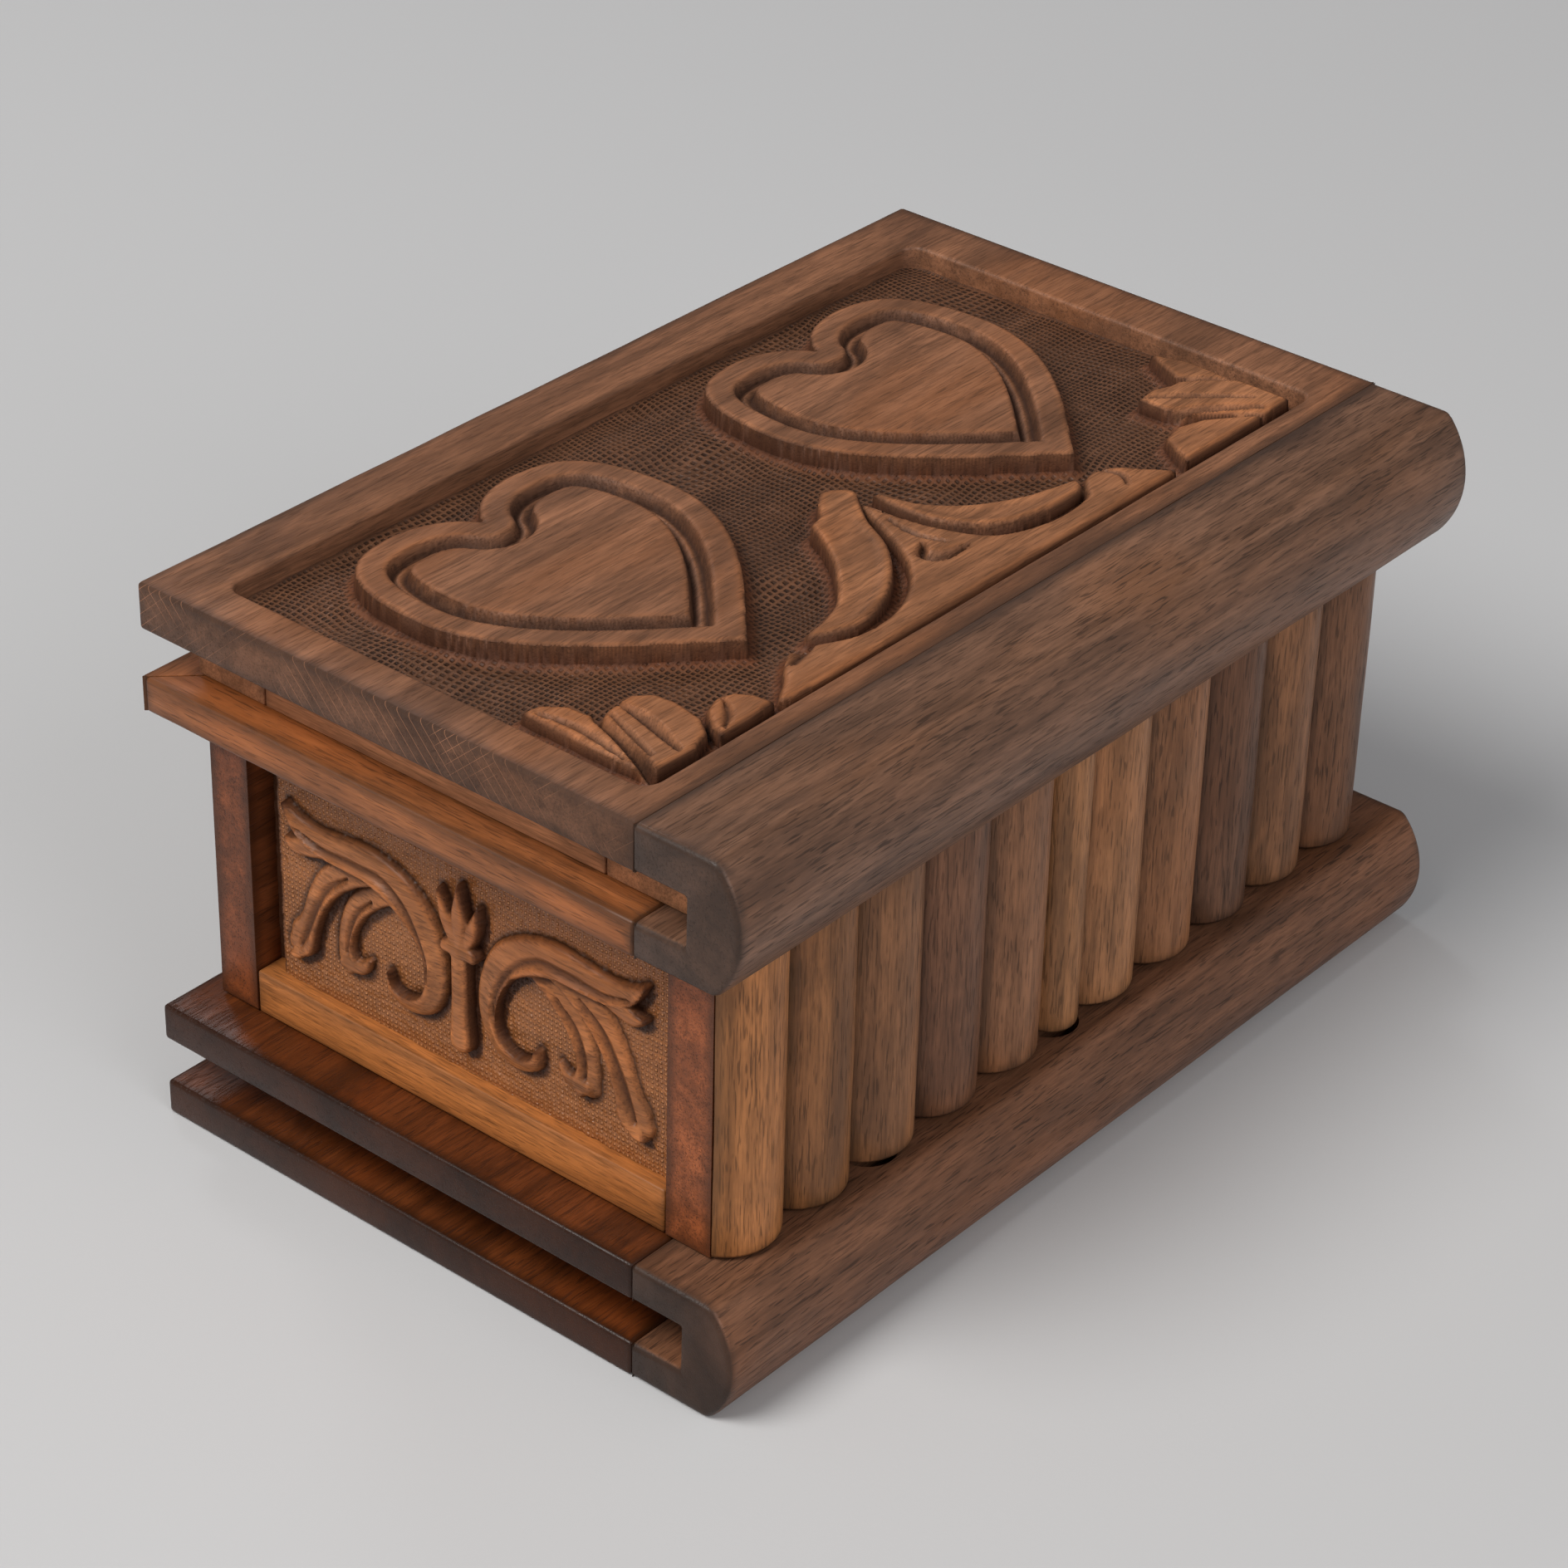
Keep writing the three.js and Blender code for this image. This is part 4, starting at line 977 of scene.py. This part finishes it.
class PUZZLEBOX_OT_lid_board(bpy.types.Operator):
    """The lid's top board with its sunk, carved field"""

    bl_idname = "puzzlebox.lid_board"
    bl_label = "Carved lid board"

    def execute(self, context):
        size = sizes()
        low, high = LID_LOW, LID_HIGH
        finish = wood("lid_walnut", tuple(colours().lid), (low, high), seed=1.0, ring=3.2 * MM,
                      rings=0.3, flecks=0.35, blotch=0.55, gloss=0.45, coat=0.0, dark_ends=0.62,
                      scored=True, carved="hatch")
        field_low = Vector((low.x + size.field_left, low.y + size.field_front, 0))
        field_high = Vector((high.x - size.field_right, high.y - size.field_rear, 0))
        board = self.sunk_board(low, high, field_low, field_high)
        add_piece("lid_board", board, finish, "lid", ["lid_top_board"])

        spacing = size.lid_cut / MM
        ground = size.field_depth / MM
        shapes, grooves = lid_shapes(size)
        u = (field_low.x / MM - 0.3, field_high.x / MM + 0.3)
        v = (field_low.y / MM - 0.3, field_high.y / MM + 0.3)

        def carving(points):
            moved, depth, bare, cove, hollow, pale = carve(points, spacing, ground, shapes, grooves,
                                                           2.6, 0.9, (0.2, 0.32))
            edge = np.minimum.reduce([moved[:, 0] - u[0], u[1] - moved[:, 0],
                                      moved[:, 1] - v[0], v[1] - moved[:, 1]])
            lip = ease(1 - edge / 1.1) * (bare > 0)
            # The ground drops at the field's edge, and that lip goes into the hollow layer as painted shade.
            return (moved, depth - 0.4 * lip ** 2, bare * (1 - lip), cove * (1 - lip),
                    np.maximum(hollow, lip), pale)

        def place(x, y, deep):
            return Vector((x * MM, y * MM, high.z - deep * MM))

        relief = relief_mesh(u, v, spacing, place, carving, ground + 1.4)
        add_piece("lid_carving", relief, finish, "lid", (), RELIEF_SHARP)
        return {"FINISHED"}

    def sunk_board(self, low, high, field_low, field_high):
        """A board with a sunk field, whose floor lies hidden under the carving."""
        size = sizes()
        floor = high.z - size.field_depth - 0.9 * MM
        bm = block(low, high)
        top = max(bm.faces, key=lambda face: face.calc_center_median().z)
        bmesh.ops.inset_region(bm, faces=[top], thickness=4 * MM)
        top = [f for f in bm.faces if f.normal.z > 0.9 and not any(
            abs(v.co.x - low.x) < TINY or abs(v.co.x - high.x) < TINY for v in f.verts)][0]
        for vert in top.verts:
            vert.co.x = field_low.x if vert.co.x < 0 else field_high.x
            vert.co.y = field_low.y if vert.co.y < (low.y + high.y) / 2 else field_high.y
        made = bmesh.ops.extrude_face_region(bm, geom=[top])["geom"]
        bmesh.ops.delete(bm, geom=[top], context="FACES_ONLY")
        for vert in only_verts(made):
            vert.co.z = floor
        walls = [e for e in bm.edges if abs(e.verts[0].co.z - e.verts[1].co.z) > 1 * MM
                 and abs(min(e.verts[0].co.z, e.verts[1].co.z) - floor) < TINY]
        soften(bm, walls, size.field_corner, 6)
        bmesh.ops.recalc_face_normals(bm, faces=bm.faces)
        at_joint = [e for e in sharp_edges(bm, 40) if all(v.co.y < low.y + TINY for v in e.verts)]
        soften(bm, at_joint, size.joint_edge, 2)
        outer = [e for e in sharp_edges(bm, 60)
                 if all(v.co.z > floor + 10 * TINY or v.co.z < low.z + 10 * TINY for v in e.verts)
                 and any(v.co.y > low.y + 0.5 * MM for v in e.verts)]
        soften(bm, outer, size.board_edge, 3)
        long_cuts(bm, 0, 7 * MM, low.x + 3 * MM, high.x - 3 * MM)
        weather(bm, 0.07 * MM, 80.0, 4.0)
        return bm


class PUZZLEBOX_OT_spines(bpy.types.Operator):
    """The rounded spines of the lid and of the base"""

    bl_idname = "puzzlebox.spines"
    bl_label = "Spines"

    def execute(self, context):
        tint = tuple(colours().spine)
        lid = wood("lid_spine_walnut", tint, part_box("lid_spine"), seed=2.0, ring=2.6 * MM, rings=0.45,
                   flecks=0.6, blotch=0.6)
        base = wood("base_spine_walnut", toned(tint, (1.02, 0.9, 0.8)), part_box("base_spine"), seed=3.4,
                    ring=2.8 * MM, rings=0.45, flecks=0.6, coat=0.0, dark_ends=0.98)
        self.spine("lid_spine_bar", "lid_spine", "lid_core_front", "lid", lid, 1.0)
        bar = self.spine("base_spine_bar", "base_spine", "base_core_front", "base_spine", base, 2.0)
        for shift in (0.0, -travel("spine_slide")):
            self.pocket(bar, shift)
        return {"FINISHED"}

    def spine(self, name, node, core, body, finish, seed):
        """A bullnose bar with a channel along its back."""
        low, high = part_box(node)
        slot_low, slot_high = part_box(core)
        bulge, web = sizes().spine_bulge, sizes().spine_web
        half = (high.z - low.z) / 2
        radius = (half * half + bulge * bulge) / (2 * bulge)
        centre = Vector((low.x, low.y + radius, low.z + half))
        swing = math.asin(half / radius)
        slot = (slot_low.z - FIT_GAP, slot_high.z + FIT_GAP)
        # The back closes most of the gap to the boards behind it
        back = high.y + (0.24 * MM if body == "lid" else 0.14 * MM)
        bottom = low.y + web

        bm = bmesh.new()
        start = bm.verts.new((low.x, low.y + bulge, high.z))
        arc = bmesh.ops.spin(bm, geom=[start], cent=centre, axis=(1, 0, 0), dvec=(0, 0, 0),
                             angle=2 * swing, steps=20, use_merge=False, use_duplicate=False)
        last = only_verts(arc["geom_last"])[0]
        corners = [(back, low.z), (back, slot[0]), (bottom, slot[0]), (bottom, slot[1]),
                   (back, slot[1]), (back, high.z)]
        chain = [last] + [bm.verts.new((low.x, y, z)) for y, z in corners] + [start]
        for a, b in zip(chain, chain[1:]):
            bm.edges.new((a, b))
        thicken(bm, (high.x - low.x, 0, 0))
        at_joint = [e for e in sharp_edges(bm, 25) if all(v.co.y > back - TINY for v in e.verts)]
        soften(bm, at_joint, sizes().joint_edge, 2)
        rest = [e for e in sharp_edges(bm, 40) if any(v.co.y < back - 0.5 * MM for v in e.verts)]
        soften(bm, rest, sizes().spine_edge, 4)
        long_cuts(bm, 0, 6 * MM, low.x + 3 * MM, high.x - 3 * MM)
        weather(bm, 0.1 * MM, 60.0, seed)
        return add_piece(name, bm, finish, body, [node])

    def pocket(self, bar, shift):
        """Cuts the pocket that the middle column drops into, shift metres along the spine."""
        low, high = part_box("key_column")
        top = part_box("base_spine")[1].z
        floor = top - travel("column_drop") - FIT_GAP
        cutter = half_round(low.x - FIT_GAP + shift, high.x + FIT_GAP + shift, low.y - FIT_GAP,
                            COLUMN_BACK, floor, top + 2 * MM)
        mesh = bpy.data.meshes.new("pocket")
        cutter.to_mesh(mesh)
        cutter.free()
        tool = bpy.data.objects.new("pocket", mesh)
        bpy.context.scene.collection.objects.link(tool)
        cut = bar.modifiers.new("pocket", "BOOLEAN")
        cut.operation = "DIFFERENCE"
        cut.object = tool
        cut.solver = "EXACT"
        bpy.context.view_layer.update()
        cut_mesh = bpy.data.meshes.new_from_object(
            bar.evaluated_get(bpy.context.evaluated_depsgraph_get()))
        bar.modifiers.clear()
        bar.data = cut_mesh
        cut_mesh.set_sharp_from_angle(angle=math.radians(PLAIN_SHARP))
        bpy.data.objects.remove(tool)


class PUZZLEBOX_OT_lid_frame(bpy.types.Operator):
    """The mitred frame under the lid and the strips in the lid's slot"""

    bl_idname = "puzzlebox.lid_frame"
    bl_label = "Lid frame and cores"

    figure = {"ring": 3.0 * MM, "rings": 0.4, "blotch": 0.8}

    def execute(self, context):
        edge = sizes().board_edge
        tint = tuple(colours().frame)
        for name, side in (("lid_frame_left", -1), ("lid_frame_right", 1)):
            low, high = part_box(name)
            finish = wood(f"{name}_finish", tint, (low, high), "Y", seed=3.0 + side, **self.figure)
            bm = board_mesh(low, high, edge, 1, side)
            width = high.x - low.x
            outer, inner = (low.x, high.x) if side < 0 else (high.x, low.x)
            corner = Vector((outer, high.y, 0))
            along = Vector((inner - outer, -width, 0)).normalized()
            bmesh.ops.bisect_plane(bm, geom=bm.verts[:] + bm.edges[:] + bm.faces[:], plane_co=corner,
                                   plane_no=Vector((side * along.y, -side * along.x, 0)) * -1,
                                   dist=1e-7, clear_inner=True)
            bmesh.ops.edgeloop_fill(bm, edges=[e for e in bm.edges if e.is_boundary])
            add_piece(f"{name}_strip", bm, finish, "lid", [name])
        for name, seed in (("lid_frame_rear", 7.0), ("lid_frame_front", 7.9)):
            finish = wood(f"{name}_finish", tint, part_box(name), seed=seed, **self.figure)
            dress(name, finish, edge * 0.6)
        core_tint = tuple(colours().core)
        for name, axis in (("lid_core_rear", 0), ("lid_core_left", 1), ("lid_core_right", 1),
                           ("lid_core_front", 0)):
            core_strip(name, core_tint, axis, "lid")
        return {"FINISHED"}


def core_strip(name, tint, axis, body):
    """A plain strip in a slot between two boards, lying along X (axis 0) or Y (axis 1)."""
    low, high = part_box(name)
    finish = wood(f"{name}_finish", tint, (low, high), "XY"[axis], seed=len(name) * 1.3 + low.x * 40,
                  ring=2.6 * MM, rings=0.3, flecks=0.3, blotch=0.3, gloss=0.5, coat=0.0,
                  dark_edges=0.4, dark_ends=0.1)
    bm = board_mesh(low, high, CORE_EDGE, axis, low.x * 20)
    add_piece(f"{name}_strip", bm, finish, body, [name])


def dress(node, finish, edge):
    """Gives a node of the frame its finish, and softens its corners by modifiers only."""
    piece = frame["nodes"][node]
    piece.data.materials.clear()
    piece.data.materials.append(finish)
    weld = piece.modifiers.new("weld", "WELD")
    weld.merge_threshold = 1e-6
    bevel = piece.modifiers.new("soft_edges", "BEVEL")
    bevel.width = edge
    bevel.segments = 2
    bevel.limit_method = "ANGLE"
    bevel.angle_limit = math.radians(50)
    bevel.use_clamp_overlap = True


class PUZZLEBOX_OT_base(bpy.types.Operator):
    """The base's two boards and the strips between them"""

    bl_idname = "puzzlebox.base"
    bl_label = "Base boards and cores"

    def execute(self, context):
        tint = tuple(colours().base)
        for name, seed in (("base_bottom_board", 5.0), ("base_top_board", 6.3)):
            low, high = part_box(name)
            finish = wood(f"{name}_finish", tint, (low, high), seed=seed, ring=3.6 * MM, rings=0.5,
                          blotch=0.9, gloss=0.32, coat=0.0, dark_edges=0.95, dark_ends=0.9)
            bm = board_mesh(low, high, sizes().board_edge, 0, seed)
            add_piece(name.replace("_board", "_plank"), bm, finish, "case", [name])
        core_tint = shade(tuple(colours().core), 0.7)
        for name, axis in (("base_core_rear", 0), ("base_core_left", 1), ("base_core_right", 1),
                           ("base_core_front", 0)):
            core_strip(name, core_tint, axis, "case")
        return {"FINISHED"}


class PUZZLEBOX_OT_walls(bpy.types.Operator):
    """The front and rear walls"""

    bl_idname = "puzzlebox.walls"
    bl_label = "Walls"

    def execute(self, context):
        tint = tuple(colours().wall)
        for name, seed, tone in (("front_wall", 8.0, 1.0), ("rear_wall", 9.4, 0.72)):
            finish = wood(f"{name}_finish", shade(tint, tone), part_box(name), seed=seed, ring=3.0 * MM,
                          rings=0.45, blotch=0.6, gloss=0.4, coat=0.1, dark_edges=0.8, dark_ends=0.0)
            dress(name, finish, WALL_EDGE)
        return {"FINISHED"}


def panel_shapes():
    """The scroll spray of an end panel around a stem at u = 0, in millimetres, v up from the floor."""
    main = [(36.6, 61.6, 0.3), (33.5, 58.9, 1.5), (29.5, 57.7, 2.1), (24, 57.8, 2.5), (18.6, 57.9, 2.8),
            (13.0, 56.2, 3.0), (8.4, 52.8, 2.9), (5.7, 47.4, 2.3), (5.4, 41.8, 1.9), (7.6, 37.7, 1.6),
            (11.6, 36.3, 1.3), (14.8, 37.6, 1.0), (15.4, 40.2, 0.4)]
    tail = [(36.4, 55.6, 0.4), (34.0, 55.2, 1.5), (28.5, 56.6, 1.5)]
    outer = [(17.5, 56.2, 1.2), (22.8, 54.6, 2.2), (27.4, 51.4, 2.5), (30.6, 46.8, 2.3),
             (32.6, 41.6, 2.2), (34.2, 38.0, 3.0), (35.4, 36.2, 2.3)]
    inner = [(13.6, 54.4, 1.0), (18.0, 52.6, 1.9), (22.0, 49.2, 2.2), (24.3, 44.8, 2.0), (25.0, 41.0, 2.0),
             (24.6, 38.4, 2.5)]
    hook = [(24.6, 38.0, 1.4), (21.4, 38.2, 1.2), (19.6, 40.2, 0.4)]
    main_vein = [(34.0, 58.2, 0.4), (28.6, 56.7, 0.9), (22.0, 56.9, 1.0), (16.0, 56.6, 1.0),
                 (10.9, 53.2, 0.9), (7.5, 47.4, 0.7), (6.7, 42.6, 0.3)]
    outer_vein = [(23.6, 53.4, 0.4), (27.8, 49.8, 0.9), (30.8, 44.8, 1.0), (33.0, 39.6, 0.9),
                  (34.4, 36.6, 0.5)]
    inner_vein = [(18.8, 51.2, 0.4), (22.2, 47.6, 0.8), (24.0, 43.2, 0.8), (24.4, 39.6, 0.4)]
    shapes = []
    grooves = []
    for side in (-1, 1):
        def flip(points, side=side):
            return [(side * u, v, w) for u, v, w in points]
        shapes += [
            Stroke(flip(outer), 0.5, -side * 1.3, 0.7, 0.3),
            Stroke(flip(inner), 0.8, -side * 1.2, 0.7, 0.3),
            Stroke(flip(hook), 1.0, 0.3, 0.6),
            Stroke(flip(tail), 0.5, 0.3, 0.6),
            Stroke(flip(main), 0.05, side * 1.1, 0.7, 0.2),
        ]
        grooves += [Groove(flip(line), 0.8) for line in (main_vein, outer_vein, inner_vein)]
    shapes += [
        Stroke([(0, 35.2, 2.1), (0, 42, 1.7), (0, 51.2, 1.6)], 0.35, 0.0, 0.6, -0.2),
        Stroke([(-2.6, 51.4, 1.1), (2.6, 51.4, 1.1)], 0.25, 0.0, 0.5),
        Stroke([(-0.8, 52.4, 1.2), (-2.6, 56.2, 1.3), (-3.6, 60.0, 0.3)], 0.4, 0.3, 0.6),
        Stroke([(0, 52.4, 1.2), (0.1, 57.6, 1.5), (0.2, 62.6, 0.3)], 0.25, 0.3, 0.6),
        Stroke([(0.8, 52.4, 1.2), (2.7, 56.0, 1.4), (4.4, 60.4, 0.3)], 0.4, 0.3, 0.6),
    ]
    return shapes, grooves


class PUZZLEBOX_OT_end_panels(bpy.types.Operator):
    """The carved end panels with the plain rails at their feet"""

    bl_idname = "puzzlebox.end_panels"
    bl_label = "End panels"

    def execute(self, context):
        size = sizes()
        spacing = size.panel_cut / MM
        ground = size.panel_ground / MM
        rail_top = PANEL_FOOT + size.panel_rail
        shapes, grooves = panel_shapes()
        # The spray's stem stands this far behind the box's middle, in millimetres, and a gap of this
        # width and height is left along the rear wall
        stem, gap_width, gap_top = 3.2, 3.6, 66.5
        for side, node in ((-1, "left_end_panel"), (1, "right_end_panel")):
            low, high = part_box(node)
            face = low.x if side < 0 else high.x
            finish = wood(f"{node}_finish", tuple(colours().carving), (low, high), "Y",
                          seed=11.0 + side, ring=3.0 * MM, rings=0.3, flecks=0.4, blotch=0.45,
                          gloss=0.4, coat=0.1, dark_edges=0.0, dark_ends=0.0, carved="stipple")
            u = (low.y / MM, high.y / MM)
            v = (rail_top / MM + 0.1, high.z / MM)

            def carving(points):
                local = points - (stem, 0)
                moved, depth, bare, cove, hollow, _ = carve(local, spacing, ground, shapes, grooves,
                                                            1.3, 0.0, (0.2, 0.9))
                moved = moved + (stem, 0)
                gap = ease((moved[:, 0] - u[1] + gap_width) / 0.5) * ease((gap_top - moved[:, 1]) / 0.8)
                # The gap along the rear wall is sunk, and goes into the hollow layer as painted shade.
                return (moved, depth + 2.6 * gap, bare * (1 - gap), cove, np.maximum(hollow, gap),
                        np.zeros(len(points)))

            def place(y, z, deep):
                return Vector((face - side * deep * MM, y * MM, z * MM))

            thickness = abs(high.x - low.x) / MM
            # The last argument is the step towards the light for the painted shadow behind the raised scrolls.
            relief = relief_mesh(u, v, spacing, place, carving, thickness, (0.9, 1.2))
            add_piece(f"{node}_carving", relief, finish, "case", [node], RELIEF_SHARP)

            ends = Vector(low), Vector((high.x, high.y, rail_top))
            rail_finish = wood(f"{node}_rail_finish", tuple(colours().rail), ends, "Y",
                               seed=13.0 + side, ring=2.4 * MM, rings=0.3, flecks=0.45, blotch=0.25,
                               coat=0.0, dark_edges=0.4, dark_ends=0.2)
            bm = board_mesh(*ends, RAIL_EDGE, 1, 3.0 * side)
            add_piece(f"{node}_rail", bm, rail_finish, "case", ())
        return {"FINISHED"}


class PUZZLEBOX_OT_columns(bpy.types.Operator):
    """The half-round columns along the front"""

    bl_idname = "puzzlebox.columns"
    bl_label = "Columns"

    # Each column's own tone, from the left, as factors of the columns' colour
    tones = ((1.56, 1.36, 0.94), (1.08, 0.98, 0.74), (1.06, 1.02, 0.92), (0.72, 0.7, 0.76),
             (1.0, 0.98, 0.98), (1.26, 1.24, 1.06), (1.4, 1.38, 1.24), (1.02, 1.0, 0.96),
             (0.5, 0.5, 0.56), (1.02, 0.98, 0.9), (0.62, 0.62, 0.66))

    def execute(self, context):
        tint = tuple(colours().column)
        for number, tone in enumerate(self.tones, 1):
            moving = number == KEY_COLUMN
            node = "key_column" if moving else f"column_{number:02d}"
            low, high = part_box(node)
            finish = wood(f"{node}_finish", toned(tint, tone), (low, high), "Z",
                          seed=20.0 + 2.7 * (number - 1), ring=2.2 * MM, flecks=0.55, blotch=0.45)
            bm = self.post(low.x, high.x, low.y, COLUMN_BACK, low.z, high.z)
            if moving:
                self.tongue(bm, low, high)
            weather(bm, 0.1 * MM, 70.0, (number - 1) * 3.3)
            add_piece(f"{node}_post", bm, finish, "key_column" if moving else "case", [node])
        return {"FINISHED"}

    def post(self, left, right, front, back, foot, head):
        bm = half_round(left, right, front, back, foot, head)
        rims = [e for e in sharp_edges(bm, 40) if not all(v.co.y > back - TINY for v in e.verts)]
        soften(bm, rims, sizes().column_edge, 4)
        long_cuts(bm, 2, 5 * MM, foot + 2 * MM, head - 2 * MM)
        return bm

    def tongue(self, bm, low, high):
        """The dovetail on the back of the middle column."""
        width, narrowing, sunk = 4.6 * MM, 0.66, 0.5 * MM
        foot = low.z + 13.3 * MM
        top = foot + 0.58 * (high.z - low.z)
        middle = (low.x + high.x) / 2
        depth = high.y - COLUMN_BACK + sunk
        made = bmesh.ops.create_cube(bm, size=1.0)["verts"]
        bmesh.ops.scale(bm, vec=(width, depth, top - foot), verts=made)
        bmesh.ops.translate(bm, vec=(middle, high.y - depth / 2, (foot + top) / 2), verts=made)
        for vert in made:
            if vert.co.y < high.y - depth / 2:
                vert.co.x = middle + (vert.co.x - middle) * narrowing


class PUZZLEBOX_OT_hardware(bpy.types.Operator):
    """Hinges, lock, key and screws"""

    bl_idname = "puzzlebox.hardware"
    bl_label = "Hardware"

    def execute(self, context):
        finish = brass("tarnished_brass", tuple(colours().brass))
        for entry in frame["record"]["subparts"]:
            if entry["material_slot"] == "brass":
                dress(entry["node"], finish, BRASS_EDGE)
        return {"FINISHED"}


class PUZZLEBOX_PT_pieces(bpy.types.Panel):
    """Lists the box's pieces, sizes and colours"""

    bl_label = "Puzzle Box"
    bl_idname = "PUZZLEBOX_PT_pieces"
    bl_space_type = "VIEW_3D"
    bl_region_type = "UI"
    bl_category = "Puzzle Box"

    def draw(self, context):
        for kind in PIECE_OPERATORS:
            self.layout.operator(kind.bl_idname)
        for group in (context.scene.puzzle_box_sizes, context.scene.puzzle_box_colours):
            column = self.layout.column()
            for key in group.__annotations__:
                column.prop(group, key)


PIECE_OPERATORS = (
    PUZZLEBOX_OT_stage, PUZZLEBOX_OT_lid_board, PUZZLEBOX_OT_spines, PUZZLEBOX_OT_lid_frame,
    PUZZLEBOX_OT_base, PUZZLEBOX_OT_walls, PUZZLEBOX_OT_end_panels, PUZZLEBOX_OT_columns,
    PUZZLEBOX_OT_hardware,
)
CLASSES = (PuzzleBoxSizes, PuzzleBoxColours, *PIECE_OPERATORS, PUZZLEBOX_PT_pieces)


def register():
    for kind in CLASSES:
        bpy.utils.register_class(kind)
    bpy.types.Scene.puzzle_box_sizes = bpy.props.PointerProperty(type=PuzzleBoxSizes)
    bpy.types.Scene.puzzle_box_colours = bpy.props.PointerProperty(type=PuzzleBoxColours)


def unregister():
    del bpy.types.Scene.puzzle_box_sizes
    del bpy.types.Scene.puzzle_box_colours
    for kind in reversed(CLASSES):
        bpy.utils.unregister_class(kind)


def main():
    register()
    for kind in PIECE_OPERATORS:
        getattr(bpy.ops.puzzlebox, kind.bl_idname.split(".")[1])()
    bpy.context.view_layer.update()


if __name__ == "__main__":
    main()
